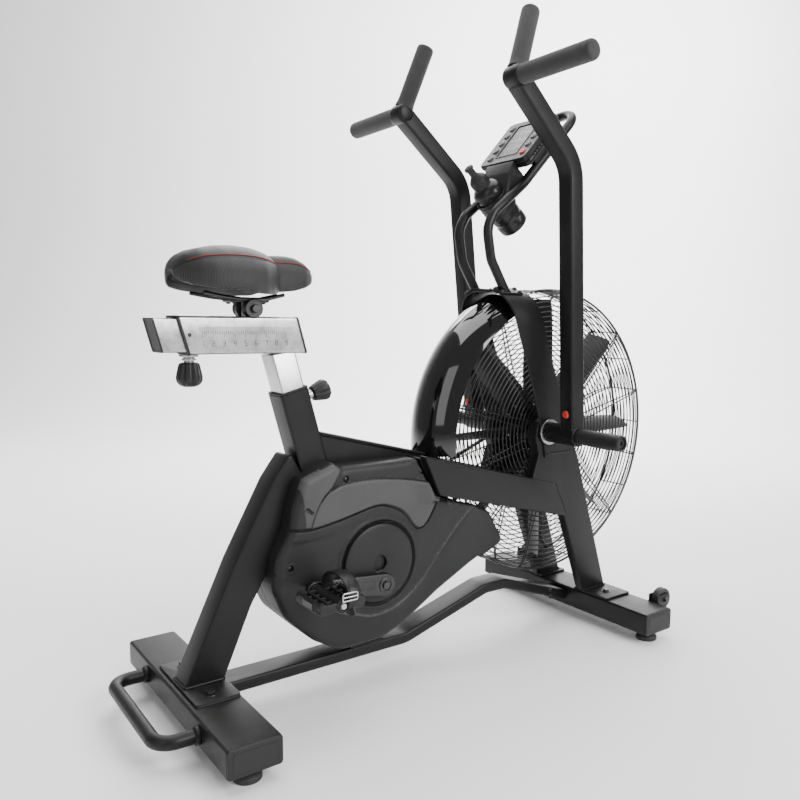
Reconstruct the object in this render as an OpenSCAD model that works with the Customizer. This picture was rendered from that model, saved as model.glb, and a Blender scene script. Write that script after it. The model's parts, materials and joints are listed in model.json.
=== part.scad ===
// Air bike: fan-braked exercise bike with swinging arms, as an assembly of separate pieces.
// Millimetres. +X towards the fan, +Y the rider's left, +Z up. The feet stand on z = 0.
// The origin is at the middle of the base of the bounding box.

/* [Base] */
// Length of the rear beam across the bike, end caps included
rear_beam_len = 525; // [480:560]
// Length of the front beam across the bike, end caps included
front_beam_len = 574; // [540:620]
// Height of the beams' underside above the floor
ground_gap = 25; // [24:28]
// Top of the hump that carries the base tube under the cage
hump_top = 135; // [110:136]

/* [Fan] */
// Radius of the wire cage
cage_r = 340; // [320:341]
// Half width of the cage across its wire faces
cage_half = 58; // [50:58]
// Number of fan blades
blade_count = 8; // [6:12]
// Outer radius of the blades
blade_r = 318; // [290:325]

/* [Arms] */
// Length of the straight part of an arm
arm_straight = 553; // [520:570]
// Length of the slanted part of an arm, from the bend to the grips
arm_slant = 190; // [170:200]
// Side of the square arm tube
arm_side = 40; // [34:40]
// Lean of the right arm at rest, degrees
lean_right = -2.8; // [-3:0]
// Lean of the left arm at rest, degrees
lean_left = -6.1; // [-7:-4]
// Radius of a foam grip
grip_r = 19.5; // [17:20]

/* [Drive] */
// Crank length between axle centres
crank_len = 160; // [150:165]
// Radius of the crank sprocket
sprocket_r = 80; // [70:82]
// Radius of the fan sprocket
fan_sprocket_r = 22; // [20:25]

/* [Seat] */
// Side of the square seat post
post_side = 50; // [46:50]
// Half width of the saddle
saddle_half = 105; // [90:115]

/* [Hidden] */
$fn = 48;
mid_x = 582.25;
beam_h = 50;
beam_top = ground_gap + beam_h;
rear_x0 = 0;
rear_w = 95;
front_x0 = 994;
front_w = 90;
cap_t = 5;
tube_wall = 3;
base_half = 30;
base_h = 24;
base_z = 45;
fan_x = 905;
fan_z = 483;
piv_x = 852;
piv_z = 491.5;
fork_in = 67;
fork_out = 92;
strap_out = 97;
strap_top = 817;
crank_x = 401;
crank_z = 216;
chain_y = 62.5;
cover_out = 78;
tilt = 15.5;
seat_x = 238.6;
seat_z = 608;
slide_z0 = 680.5;
slide_z1 = 748;
slide_half = 29;
stem_x = 159;
run = 0.06;
face_x = 772;
face_z = 1104;
face_tilt = 41.5;
bottle_x = 821;
bottle_z = 966;
bottle_tilt = -51.4;
crank_turn = 8;
saddle_z = 824;
tilt_z = 763;
tilt_pin_r = 5;
hoop_y = 50;
foot_x_rear = 47;
foot_x_front = 1039;
foot_y_rear = 228;
foot_y_front = 252;
wheel_x = 1114;
wheel_y = 234;
wheel_z = 77;
wheel_r = 26;

cover_shape = [[232, 445], [300, 471], [318, 460], [494, 460], [536, 374], [652, 342], [700, 320],
    [745, 243], [652, 203], [560, 158], [470, 105], [420, 86], [320, 84], [262, 118], [200, 178],
    [173, 240], [180, 300], [207, 350], [214, 395]];
fork_shape = [[500, 467], [541, 379], [917, 281], [991, 80], [1071, 80], [960, 418], [948, 446],
    [900, 500], [852, 527], [822, 512], [815, 480], [826, 440], [808, 386]];
strut_shape = [[14, 80], [113, 295], [190, 440], [229, 493], [262, 430], [205, 310], [145, 209], [89, 80]];

module bike() { translate([-mid_x, 0, 0]) children(); }
// an outline drawn in X and Z, spread across Y
module side_plate(y0, y1) { translate([0, y1, 0]) rotate([90, 0, 0]) linear_extrude(y1 - y0) children(); }
module rod(a, b, r) {
    d = b - a;
    len = norm(d);
    translate(a) rotate([0, acos(d[2] / len), atan2(d[1], d[0])]) cylinder(h = len, r = r);
}
module across(x, z, y0, y1, r) { translate([x, y1, z]) rotate([90, 0, 0]) cylinder(h = y1 - y0, r = r); }
module box(x0, x1, y0, y1, z0, z1) { translate([x0, y0, z0]) cube([x1 - x0, y1 - y0, z1 - z0]); }

// ---- base ----
module beam(x0, w, len) {
    half = len / 2 - cap_t;
    difference() {
        box(x0, x0 + w, -half, half, ground_gap, beam_top);
        box(x0 + tube_wall, x0 + w - tube_wall, -half - 1, half + 1, ground_gap + tube_wall, beam_top - tube_wall);
    }
}
module stud_holes(x, y) {
    for (s = [-1, 1]) translate([x, s * y, ground_gap - 1]) cylinder(h = tube_wall + 2, r = 5 + run);
}
module rear_beam() {
    color([0.05, 0.05, 0.05]) bike() difference() {
        beam(rear_x0, rear_w, rear_beam_len);
        stud_holes(foot_x_rear, foot_y_rear);
    }
}
module wheel_bracket(s) {
    for (side = [-13.5, 10.5]) difference() {
        union() {
            box(front_x0 + front_w, wheel_x, s * wheel_y + side, s * wheel_y + side + 3, wheel_z - 18, wheel_z + 14);
            across(wheel_x, wheel_z, s * wheel_y + side, s * wheel_y + side + 3, 14);
        }
        across(wheel_x, wheel_z, s * wheel_y + side - 1, s * wheel_y + side + 4, 4);
    }
    across(wheel_x, wheel_z, s * wheel_y - 17, s * wheel_y + 17, 4);
}
module front_beam() {
    color([0.05, 0.05, 0.05]) bike() {
        difference() {
            beam(front_x0, front_w, front_beam_len);
            stud_holes(foot_x_front, foot_y_front);
        }
        for (s = [-1, 1]) {
            box(front_x0 + front_w, front_x0 + front_w + 3, s * wheel_y - 16, s * wheel_y + 16, 52, beam_top);
            wheel_bracket(s);
        }
    }
}
module end_cap(x0, w, len, s) {
    y = s * (len / 2 - cap_t);
    box(x0, x0 + w, min(y, y + s * cap_t), max(y, y + s * cap_t), ground_gap, beam_top);
    box(x0 + tube_wall + 0.2, x0 + w - tube_wall - 0.2, min(y, y - s * 18), max(y, y - s * 18),
        ground_gap + tube_wall + 0.2, beam_top - tube_wall - 0.2);
}
module beam_caps() {
    color([0.07, 0.07, 0.07]) bike() for (s = [-1, 1]) {
        end_cap(rear_x0, rear_w, rear_beam_len, s);
        end_cap(front_x0, front_w, front_beam_len, s);
    }
}
module foot(x, y) {
    color([0.04, 0.04, 0.04]) bike() translate([x, y, 0]) {
        cylinder(h = 9, r = 24);
        translate([0, 0, 9]) cylinder(h = 6, r1 = 24, r2 = 15);
        translate([0, 0, 15]) cylinder(h = 3, r = 9);
        translate([0, 0, 18]) cylinder(h = 40, r = 5);
    }
}
module foot_rear_right() { foot(foot_x_rear, -foot_y_rear); }
module foot_rear_left() { foot(foot_x_rear, foot_y_rear); }
module foot_front_right() { foot(foot_x_front, -foot_y_front); }
module foot_front_left() { foot(foot_x_front, foot_y_front); }
module transport_wheel(s) {
    color([0.06, 0.06, 0.06]) bike() difference() {
        union() {
            across(wheel_x, wheel_z, s * wheel_y - 9, s * wheel_y + 9, wheel_r);
            across(wheel_x, wheel_z, s * wheel_y - 10.2, s * wheel_y + 10.2, 9);
        }
        across(wheel_x, wheel_z, s * wheel_y - 12, s * wheel_y + 12, 4 + run);
    }
}
module wheel_right() { transport_wheel(-1); }
module wheel_left() { transport_wheel(1); }
module lift_handle() {
    bar = -68;
    bend = 35;
    arm_y = 140;
    color([0.05, 0.05, 0.05]) bike() translate([0, 0, 50]) {
        for (s = [-1, 1]) {
            rod([0, s * arm_y, 0], [bar + bend, s * arm_y, 0], 12.5);
            translate([bar + bend, s * (arm_y - bend), 0]) rotate([0, 0, s > 0 ? 90 : 180])
                rotate_extrude(angle = 90) translate([bend, 0]) circle(r = 12.5);
        }
        rod([bar, -(arm_y - bend), 0], [bar, arm_y - bend, 0], 12.5);
    }
}
module base_outline(e) {
    top = hump_top - e;
    polygon([[95, base_z + e], [505 + e * 0.3, base_z + e], [735, top - base_h + 2 * e], [785, top - base_h + 2 * e],
        [994, 38 + e], [994, 62 - e], [790, top], [728, top], [499 + e * 0.3, base_z + base_h - e],
        [95, base_z + base_h - e]]);
}
module base_tube() {
    color([0.05, 0.05, 0.05]) bike() {
        difference() {
            side_plate(-base_half, base_half) base_outline(0);
            side_plate(-base_half + 2.5, base_half - 2.5) base_outline(2.5);
        }
        for (s = [-1, 1], z = [0, 1]) translate([938 + z * 2, s * (base_half + 2), 76 - z * 18])
            rotate([90, 0, 0]) cylinder(h = 4, r = 6, center = true);
        crank_housing();
    }
}
// the crank's bearing shell on two plates welded to the base tube
module crank_housing() {
    difference() {
        union() {
            across(crank_x, crank_z, -40, 40, 24);
            box(crank_x - 30, crank_x + 30, -22, -16, base_z + base_h - 1, crank_z);
            box(crank_x - 30, crank_x + 30, 16, 22, base_z + base_h - 1, crank_z);
            box(crank_x - 40, crank_x + 40, -26, 26, base_z + base_h - 1, base_z + base_h + 5);
        }
        across(crank_x, crank_z, -50, 50, 12 + run);
    }
}

// ---- frame ----
module seat_strut() {
    color([0.05, 0.05, 0.05]) bike() {
        side_plate(-base_half, base_half) polygon(strut_shape);
        box(10, 92, -100, 100, beam_top, beam_top + 5);
        for (s = [-1, 1]) translate([47, s * 72, beam_top + 5]) {
            cylinder(h = 2, r = 11);
            translate([0, 0, 2]) cylinder(h = 5, r = 8);
        }
    }
}
module seat_axis() { translate([seat_x, 0, seat_z]) rotate([0, -tilt, 0]) children(); }
module seat_tube() {
    color([0.05, 0.05, 0.05]) bike() difference() {
        seat_axis() translate([-30, -30, -300]) cube([60, 60, 300]);
        seat_axis() translate([-25.5, -25.5, -310]) cube([51, 51, 320]);
        seat_axis() translate([0, 0, -22]) rotate([0, 90, 0]) cylinder(h = 60, r = 6.3);
        side_plate(-base_half - 1, base_half + 1) polygon(strut_shape);
    }
}
module spine_gusset() {
    color([0.05, 0.05, 0.05]) bike() difference() {
        union() {
            side_plate(-22, 22) polygon([[270, 528], [545, 460], [545, 440], [300, 440]]);
            side_plate(-fork_in, fork_in) polygon([[503, 462], [545, 451], [560, 400], [529, 405]]);
        }
        seat_axis() translate([-30, -31, -320]) cube([60, 62, 340]);
    }
}
module fork(s) {
    y0 = s > 0 ? fork_in : -fork_out;
    color([0.05, 0.05, 0.05]) bike() {
        side_plate(y0, y0 + fork_out - fork_in) polygon(fork_shape);
        box(front_x0 + 2, front_x0 + front_w - 2, s > 0 ? 55 : -165, s > 0 ? 165 : -55, beam_top, beam_top + 5);
        translate([front_x0 + 42, s * 128, beam_top + 5]) cylinder(h = 6, r = 9);
    }
}
module fork_right() { fork(-1); }
module fork_left() { fork(1); }
module hoop_outline(half, top, corner) {
    union() {
        translate([-half, 430]) square([2 * half, top - corner - 430]);
        translate([-half + corner, 430]) square([2 * (half - corner), top - 430]);
        for (s = [-1, 1]) translate([s * (half - corner), top - corner]) circle(r = corner);
    }
}
module arch_strap() {
    lean_band = [[846, 436], [805, 580], [769, 681], [741, 752], [720, 830], [806, 830], [834, 719],
        [889, 580], [926, 436]];
    color([0.05, 0.05, 0.05]) bike() difference() {
        intersection() {
            translate([600, 0, 0]) rotate([90, 0, 90]) linear_extrude(400) difference() {
                hoop_outline(strap_out, strap_top, 45);
                translate([0, -1]) hoop_outline(strap_out - 5, strap_top - 5, 40);
                translate([-strap_out + 6, 0]) square([2 * (strap_out - 6), 500]);
            }
            side_plate(-strap_out - 1, strap_out + 1) polygon(lean_band);
        }
        for (s = [-1, 1]) across(piv_x, piv_z, s * 95 - 5, s * 95 + 5, 11);
    }
}
module fixed_shafts() {
    color([0.35, 0.35, 0.36]) bike() {
        for (s = [-1, 1]) {
            across(piv_x, piv_z, s > 0 ? fork_out : -192, s > 0 ? 192 : -fork_out, 10);
            across(piv_x, piv_z, s > 0 ? strap_out : -103, s > 0 ? 103 : -strap_out, 30);
        }
        across(fan_x, fan_z, -fork_in, fork_in, 8);
    }
}
module foot_pegs() {
    y0 = 192.2;
    color([0.05, 0.05, 0.05]) bike() for (s = [-1, 1]) difference() {
        across(piv_x, piv_z, s > 0 ? y0 : -313, s > 0 ? 313 : -y0, 17.5);
        across(piv_x, piv_z, s > 0 ? 301 : -314, s > 0 ? 314 : -301, 12);
    }
}

// ---- console ----
// a straight run of the console tube, lengthened at each end so that the next run meets it
module tube_run(a, b, before, after) {
    u = (b - a) / norm(b - a);
    rod(a - u * before, b + u * after, 11);
}
hoop_path = [[745, 819], [706, 880], [693, 948], [712, 983], [799, 1054], [938, 1202]];
module console_tubes() {
    color([0.05, 0.05, 0.05]) bike() {
        for (s = [-1, 1]) {
            difference() {
                for (i = [0:4]) tube_run([hoop_path[i][0], s * hoop_y, hoop_path[i][1]],
                    [hoop_path[i + 1][0], s * hoop_y, hoop_path[i + 1][1]], i > 0 ? 4 : 0, i < 4 ? 4 : 0);
                box(700, 800, -90, 90, 780, strap_top + 1);
            }
            box(720, 795, s * hoop_y - 21, s * hoop_y + 21, strap_top, strap_top + 4);
            for (x = [730, 784], y = [-13, 13]) translate([x, s * hoop_y + y, strap_top + 4]) cylinder(h = 4, r = 5);
        }
        translate([938, 0, 1202]) rotate([0, 133.2, 0]) rotate([0, 0, 90])
            rotate_extrude(angle = 180) translate([hoop_y, 0]) circle(r = 11);
    }
}
module on_face() { translate([face_x, 0, face_z]) rotate([0, face_tilt, 0]) children(); }
module console_body() {
    color([0.12, 0.12, 0.13]) bike() difference() {
        on_face() {
            translate([0, -78, 0]) cube([28, 156, 151]);
            translate([27, -60, 34]) cube([19.8, 120, 84]);
        }
        on_face() translate([-1, -33, 26]) cube([3, 66, 104]);
        for (s = [-1, 1], i = [0:4]) key_place(s, i) translate([0, 0, 2]) cylinder(h = 9, r = key_r + 0.4);
        for (s = [-1, 1]) rod([hoop_path[4][0], s * hoop_y, hoop_path[4][1]], [hoop_path[5][0], s * hoop_y,
            hoop_path[5][1]], 11 + run);
    }
}
key_r = 8.6;
module key_place(s, i) { on_face() translate([-3, s * 54, 24 + i * 26]) rotate([0, 90, 0]) children(); }
module key(s, i) { bike() key_place(s, i) cylinder(h = 8, r = key_r); }
module key_right_1() { color([0.8, 0.05, 0.05]) key(-1, 0); }
module key_right_2() { color([0.3, 0.3, 0.3]) key(-1, 1); }
module key_right_3() { color([0.3, 0.3, 0.3]) key(-1, 2); }
module key_right_4() { color([0.3, 0.3, 0.3]) key(-1, 3); }
module key_right_5() { color([0.3, 0.3, 0.3]) key(-1, 4); }
module key_left_1() { color([0.3, 0.3, 0.3]) key(1, 0); }
module key_left_2() { color([0.3, 0.3, 0.3]) key(1, 1); }
module key_left_3() { color([0.3, 0.3, 0.3]) key(1, 2); }
module key_left_4() { color([0.3, 0.3, 0.3]) key(1, 3); }
module key_left_5() { color([0.3, 0.3, 0.3]) key(1, 4); }
module on_bottle() { translate([bottle_x, 0, bottle_z]) rotate([0, bottle_tilt, 0]) children(); }
module bottle_holder() {
    color([0.05, 0.05, 0.05]) bike() difference() {
        union() {
            on_bottle() translate([0, 0, 52]) cylinder(h = 46, r = 38.5);
            rod([752, -38.5, 1016], [752, 38.5, 1016], 9);
            rod([805, -38.5, 1059], [805, 38.5, 1059], 9);
            side_plate(-36, 36) polygon([[748, 1018], [752, 1012], [808, 1056], [815, 1064], [792, 1084],
                [771, 1102.5], [752, 1060]]);
        }
        on_bottle() translate([0, 0, -10]) cylinder(h = 260, r = 35.5);
    }
}
module bottle() {
    color([0.06, 0.06, 0.06]) bike() on_bottle() {
        cylinder(h = 6, r1 = 31, r2 = 35);
        translate([0, 0, 6]) cylinder(h = 104, r = 35);
        translate([0, 0, 110]) cylinder(h = 18, r1 = 35, r2 = 18);
        translate([0, 0, 128]) cylinder(h = 22, r = 20);
        translate([0, 0, 150]) cylinder(h = 10, r1 = 20, r2 = 11);
        translate([0, 0, 160]) cylinder(h = 18, r = 8);
        translate([0, 0, 178]) cylinder(h = 6, r = 11);
    }
}

// ---- covers and drive ----
module chain_path(grow) {
    hull() {
        translate([crank_x, crank_z]) circle(r = sprocket_r + grow, $fn = 64);
        translate([fan_x, fan_z]) circle(r = fan_sprocket_r + grow, $fn = 64);
    }
}
module cover(s) {
    y0 = s > 0 ? 0.2 : -cover_out;
    inner = s > 0 ? -1 : -cover_out + 3;
    color([0.1, 0.1, 0.1]) bike() difference() {
        side_plate(y0, y0 + cover_out - 0.2) polygon(cover_shape);
        side_plate(inner, inner + cover_out - 2) offset(delta = -3) polygon(cover_shape);
        across(crank_x, crank_z, -90, 90, 15);
        across(fan_x, fan_z, -63, 63, cage_r + 6);
        seat_axis() translate([-33, -31.5, -330]) cube([66, 63, 360]);
        side_plate(-31.5, 31.5) offset(delta = 1.5) polygon(strut_shape);
        box(crank_x - 31, crank_x + 31, -23, 23, 60, 110);
        box(250, 560, -24, 24, 425, 540);
        box(496, 570, -70, 70, 392, 480);
        if (s > 0) side_plate(55, 70) chain_path(8);
    }
}
module cover_right() { cover(-1); }
module cover_left() { cover(1); }
module cover_discs() {
    color([0.1, 0.1, 0.1]) bike() for (s = [-1, 1]) difference() {
        union() {
            across(400, 256, s > 0 ? cover_out : -81, s > 0 ? 81 : -cover_out, 88);
        }
        across(crank_x, crank_z, -90, 90, 15);
    }
}
module crank_axle() {
    color([0.4, 0.4, 0.42]) bike() {
        across(crank_x, crank_z, -97, 97, 12);
        across(crank_x, crank_z, 44, 66, 20);
        difference() {
            across(crank_x, crank_z, chain_y - 2, chain_y + 2, sprocket_r - 2);
            for (i = [0:4]) translate([crank_x, 0, crank_z]) rotate([0, i * 72, 0]) across(50, 0, 40, 80, 15);
        }
        for (s = [-1, 1]) across(pedal_x(s), pedal_z(s), s > 0 ? 84 : -205, s > 0 ? 205 : -84, 7);
    }
}
module crank_arm(s) {
    turn = s < 0 ? 180 + crank_turn : crank_turn;
    y0 = s > 0 ? 84 : -98;
    translate([crank_x, 0, crank_z]) rotate([0, turn, 0]) difference() {
        union() {
            across(0, 0, y0, y0 + 14, 23);
            across(crank_len, 0, y0, y0 + 14, 15);
            side_plate(y0, y0 + 14) polygon([[0, 20], [crank_len, 13], [crank_len, -13], [0, -20]]);
        }
        across(0, 0, y0 - 1, y0 + 15, 12);
        across(crank_len, 0, y0 - 1, y0 + 15, 7);
    }
}
module crank_right() { color([0.06, 0.06, 0.06]) bike() crank_arm(-1); }
module crank_left() { color([0.06, 0.06, 0.06]) bike() crank_arm(1); }
function pedal_x(s) = crank_x + s * crank_len * cos(crank_turn);
function pedal_z(s) = crank_z - s * crank_len * sin(crank_turn);
module pedal(s) {
    color([0.05, 0.05, 0.05]) bike() translate([pedal_x(s), s * 155, pedal_z(s)]) difference() {
        union() {
            rotate([90, 0, 0]) cylinder(h = 90, r = 13, center = true);
            for (y = [-44, 38]) translate([-48, y, -12]) cube([96, 8, 24]);
            for (x = [-48, 40]) translate([x, -44, -10]) cube([8, 90, 20]);
            for (x = [-26, 19]) translate([x, -44, -8]) cube([7, 90, 16]);
        }
        rotate([90, 0, 0]) cylinder(h = 200, r = 7 + run, center = true);
    }
}
module pedal_right() { pedal(-1); }
module pedal_left() { pedal(1); }
module pedal_strap(s) {
    color([0.04, 0.04, 0.04]) bike() translate([pedal_x(s) + 8.5, s * 156, pedal_z(s)])
        rotate([90, 0, 90]) linear_extrude(26) difference() {
            union() {
                translate([-52, -16]) square([104, 40]);
                translate([0, 22]) scale([52, 24]) circle(r = 1);
            }
            union() {
                translate([-48, -12.5]) square([96, 36]);
                translate([0, 22]) scale([48, 20.5]) circle(r = 1);
            }
        }
}
module strap_right() { pedal_strap(-1); }
module strap_left() { pedal_strap(1); }
module drive_chain() {
    color([0.25, 0.25, 0.26]) bike() difference() {
        side_plate(chain_y - 2.5, chain_y + 2.5) chain_path(4.5);
        side_plate(chain_y - 4, chain_y + 4) chain_path(0);
    }
}

// ---- fan ----
module fan() {
    color([0.05, 0.05, 0.05]) bike() difference() {
        translate([fan_x, 0, fan_z]) {
            rotate([90, 0, 0]) cylinder(h = 76, r = 46, center = true);
            rotate([90, 0, 0]) translate([0, 0, -chain_y - 2]) cylinder(h = 40, r = 14);
            rotate([90, 0, 0]) translate([0, 0, -chain_y - 2]) cylinder(h = 4, r = fan_sprocket_r - 2);
            for (i = [0:blade_count - 1]) rotate([0, i * 360 / blade_count, 0])
                translate([40, -1.5, -37]) rotate([24, 0, 0]) translate([0, 0, 0]) cube([blade_r - 40, 3, 74]);
        }
        across(fan_x, fan_z, -80, 80, 8 + run);
    }
}
module cage_face(s) {
    y0 = s > 0 ? cage_half - 3 : -cage_half;
    color([0.05, 0.05, 0.05]) bike() translate([fan_x, 0, fan_z]) {
        for (r = [74:30:cage_r - 16]) difference() {
            across(0, 0, y0, y0 + 3, r);
            across(0, 0, y0 - 1, y0 + 4, r - 3);
        }
        for (i = [0:23]) rotate([0, i * 15, 0]) box(46, cage_r - 17, y0, y0 + 3, -1.5, 1.5);
        difference() {
            across(0, 0, y0, y0 + 3, 48);
            across(0, 0, y0 - 1, y0 + 4, s > 0 ? 20 : 9);
        }
    }
}
module cage_right() { cage_face(-1); }
module cage_left() { cage_face(1); }
module cage_rim() {
    r = cage_r;
    w = cage_half;
    color([0.05, 0.05, 0.05]) bike() translate([fan_x, 0, fan_z]) rotate([90, 0, 0]) rotate_extrude($fn = 96)
        polygon([[r - 12, -w], [r, -w + 12], [r, w - 12], [r - 12, w], [r - 16, w], [r - 3, w - 13],
            [r - 3, 13 - w], [r - 16, -w]]);
}
module shroud() {
    centre_r = 270;
    color([0.02, 0.02, 0.02]) bike() translate([fan_x, 0, fan_z]) rotate([90, 0, 0])
        rotate_extrude(angle = 70, start = 115, $fn = 96) difference() {
            translate([centre_r, 0]) circle(r = 88);
            translate([centre_r, 0]) circle(r = 85);
            translate([centre_r - 90, -100]) square([131, 200]);
        }
}

// ---- arms ----
// side view of an arm: straight up, bent 45 degrees backwards on a 90 mm radius, then on to the grips
bend_r = 90;
bend_steps = 12;
function bend_point(r, i) = [-bend_r + r * cos(45 * i / bend_steps), arm_straight + r * sin(45 * i / bend_steps)];
function arm_outline(half) = concat([[half, 12]],
    [for (i = [0:bend_steps]) bend_point(bend_r + half, i)],
    [bend_point(bend_r + half, bend_steps) + arm_slant * [-sin(45), cos(45)],
        bend_point(bend_r - half, bend_steps) + arm_slant * [-sin(45), cos(45)]],
    [for (i = [bend_steps:-1:0]) bend_point(bend_r - half, i)], [[-half, 12]]);
module arm(s, lean) {
    y = s * 170;
    half = arm_side / 2;
    color([0.05, 0.05, 0.05]) bike() translate([piv_x, 0, piv_z]) rotate([0, lean, 0]) difference() {
        union() {
            across(0, 0, s > 0 ? 103.4 : -191.6, s > 0 ? 191.6 : -103.4, 23);
            side_plate(y - half, y + half) polygon(arm_outline(half));
            arm_tip() {
                across(0, 0, s > 0 ? 148 : -192, s > 0 ? 192 : -148, 23);
                across(0, 0, s > 0 ? 185 : -368, s > 0 ? 368 : -185, 14);
                rod([5, y - s * 1.8, 11], [54, y - s * 19, 118], 14);
            }
        }
        across(0, 0, -200, 200, 10 + run);
    }
}
module arm_tip() {
    l = arm_slant * sin(45) - 4;
    translate([bend_point(bend_r, bend_steps)[0] - l, 0, bend_point(bend_r, bend_steps)[1] + l]) children();
}
module grips(s, lean) {
    y = s * 170;
    root = [5, y - s * 1.8, 11];
    reach = [49, -s * 17.2, 107];
    u = reach / norm(reach);
    a = root + u * 18;
    b = a + u * 132;
    color([0.06, 0.06, 0.06]) bike() translate([piv_x, 0, piv_z]) rotate([0, lean, 0]) arm_tip() difference() {
        union() {
            across(0, 0, s > 0 ? 192.5 : -376, s > 0 ? 376 : -192.5, grip_r);
            rod(a, b, grip_r);
        }
        across(0, 0, s > 0 ? 180 : -368.3, s > 0 ? 368.3 : -180, 14);
        rod(root, root + reach + u * 0.5, 14);
    }
}
module arm_right() { arm(-1, lean_right); }
module arm_left() { arm(1, lean_left); }
module grips_right() { grips(-1, lean_right); }
module grips_left() { grips(1, lean_left); }

// ---- seat ----
module seat_post() {
    h = post_side / 2;
    color([0.75, 0.75, 0.76]) bike() difference() {
        seat_axis() translate([-h, -h, -190]) cube([post_side, post_side, 290]);
        seat_axis() translate([-h + 3, -h + 3, -200]) cube([post_side - 6, post_side - 6, 240]);
        box(0, 400, -60, 60, slide_z0, 900);
    }
}
module slide_outline(e) { polygon([[37 + e, slide_z0 + e], [266 - e, slide_z0 + e], [247 - e, slide_z1 - e], [18 + e, slide_z1 - e]]); }
module slider_housing() {
    color([0.75, 0.75, 0.76]) bike() difference() {
        side_plate(-slide_half, slide_half) polygon([[37, slide_z0], [266, slide_z0], [247, slide_z1], [18, slide_z1]]);
        box(-50, 320, -slide_half + 3, slide_half - 3, slide_z0 + 3, slide_z1 - 3);
        box(stem_x - 72, stem_x + 62, -13, 13, slide_z1 - 4, slide_z1 + 1);
        translate([48, 0, slide_z0 - 1]) cylinder(h = 6, r = 5.3);
    }
}
module seat_carriage() {
    z0 = slide_z0 + 3.5;
    z1 = slide_z1 - 3.5;
    color([0.75, 0.75, 0.76]) bike() difference() {
        union() {
            side_plate(-25.5, 25.5) polygon([[-8, z0], [190, z0], [190, z1], [-24, z1]]);
            translate([stem_x, 0, z1 - 3]) cylinder(h = tilt_z + 11 - z1 + 3, r = 11);
            across(stem_x, tilt_z, -36, 36, tilt_pin_r);
        }
        side_plate(-22.5, 22.5) polygon([[10, z0 + 3], [200, z0 + 3], [200, z1 - 3], [-5, z1 - 3]]);
        for (i = [0:4]) translate([18 + i * 30, 0, z0 - 1]) cylinder(h = 5, r = 5.5);
    }
}
module saddle_clamp() {
    color([0.05, 0.05, 0.05]) bike() difference() {
        union() {
            across(stem_x, tilt_z, -32, 32, 14.4);
            box(stem_x - 40, stem_x + 34, -24, 24, 774, 781);
        }
        across(stem_x, tilt_z, -40, 40, tilt_pin_r + run);
        box(stem_x - 13, stem_x + 13, -11.5, 11.5, 740, 777);
    }
}
module saddle() {
    color([0.08, 0.08, 0.08]) bike() difference() {
        union() {
            translate([117, 0, saddle_z]) scale([98, saddle_half, 47]) sphere(r = 1);
            translate([205, 0, saddle_z + 3]) scale([82, 42, 34]) sphere(r = 1);
        }
        box(0, 320, -120, 120, 700, 781.3);
    }
}
module slider_knob() {
    color([0.06, 0.06, 0.06]) bike() translate([48, 0, 0]) {
        translate([0, 0, 623]) cylinder(h = 10, r1 = 17, r2 = 23);
        translate([0, 0, 633]) cylinder(h = 33, r1 = 23, r2 = 17);
        translate([0, 0, 666]) cylinder(h = 13, r = 9);
        translate([0, 0, 679]) cylinder(h = 4.5, r = 5);
    }
}
module post_knob() {
    color([0.06, 0.06, 0.06]) bike() seat_axis() translate([0, 0, -22]) rotate([0, 90, 0]) {
        translate([0, 0, 25.8]) cylinder(h = 6, r = 6);
        translate([0, 0, 31.6]) cylinder(h = 15, r = 9);
        translate([0, 0, 46.6]) cylinder(h = 30, r1 = 15, r2 = 21);
        translate([0, 0, 76.6]) cylinder(h = 6, r1 = 21, r2 = 17);
    }
}

rear_beam();
front_beam();
beam_caps();
foot_rear_right();
foot_rear_left();
foot_front_right();
foot_front_left();
wheel_right();
wheel_left();
lift_handle();
base_tube();
seat_strut();
seat_tube();
spine_gusset();
fork_right();
fork_left();
arch_strap();
fixed_shafts();
foot_pegs();
console_tubes();
console_body();
key_right_1();
key_right_2();
key_right_3();
key_right_4();
key_right_5();
key_left_1();
key_left_2();
key_left_3();
key_left_4();
key_left_5();
bottle_holder();
bottle();
cover_right();
cover_left();
cover_discs();
crank_axle();
crank_right();
crank_left();
pedal_right();
pedal_left();
strap_right();
strap_left();
drive_chain();
fan();
cage_right();
cage_left();
cage_rim();
shroud();
arm_right();
arm_left();
grips_right();
grips_left();
seat_post();
slider_housing();
seat_carriage();
saddle_clamp();
saddle();
slider_knob();
post_knob();
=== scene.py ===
import json
import math

import bpy
from mathutils import Matrix, Vector
from mathutils.bvhtree import BVHTree
from mathutils.geometry import delaunay_2d_cdt


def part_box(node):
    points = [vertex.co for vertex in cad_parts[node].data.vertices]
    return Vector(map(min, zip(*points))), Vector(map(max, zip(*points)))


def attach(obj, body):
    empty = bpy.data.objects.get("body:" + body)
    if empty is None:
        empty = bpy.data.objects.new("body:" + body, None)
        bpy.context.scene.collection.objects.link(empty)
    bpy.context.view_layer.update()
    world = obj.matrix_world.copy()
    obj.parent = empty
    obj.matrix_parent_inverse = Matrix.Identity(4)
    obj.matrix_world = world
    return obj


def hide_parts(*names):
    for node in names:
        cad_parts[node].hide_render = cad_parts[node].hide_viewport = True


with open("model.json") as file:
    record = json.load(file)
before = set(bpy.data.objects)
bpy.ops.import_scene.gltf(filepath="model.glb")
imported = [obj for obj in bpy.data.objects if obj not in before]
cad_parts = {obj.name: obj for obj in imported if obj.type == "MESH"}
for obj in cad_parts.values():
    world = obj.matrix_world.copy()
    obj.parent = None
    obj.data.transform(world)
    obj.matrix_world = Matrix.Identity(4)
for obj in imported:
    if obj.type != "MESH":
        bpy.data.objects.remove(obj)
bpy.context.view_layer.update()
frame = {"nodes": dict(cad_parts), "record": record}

# Sizes and places are in millimetres from the rear beam's rear face. Shape.piece() turns them into metres.
MID = 582.25                          # x of the part's origin
FAN = Vector((905, 0, 483))           # the fan's axis
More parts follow.
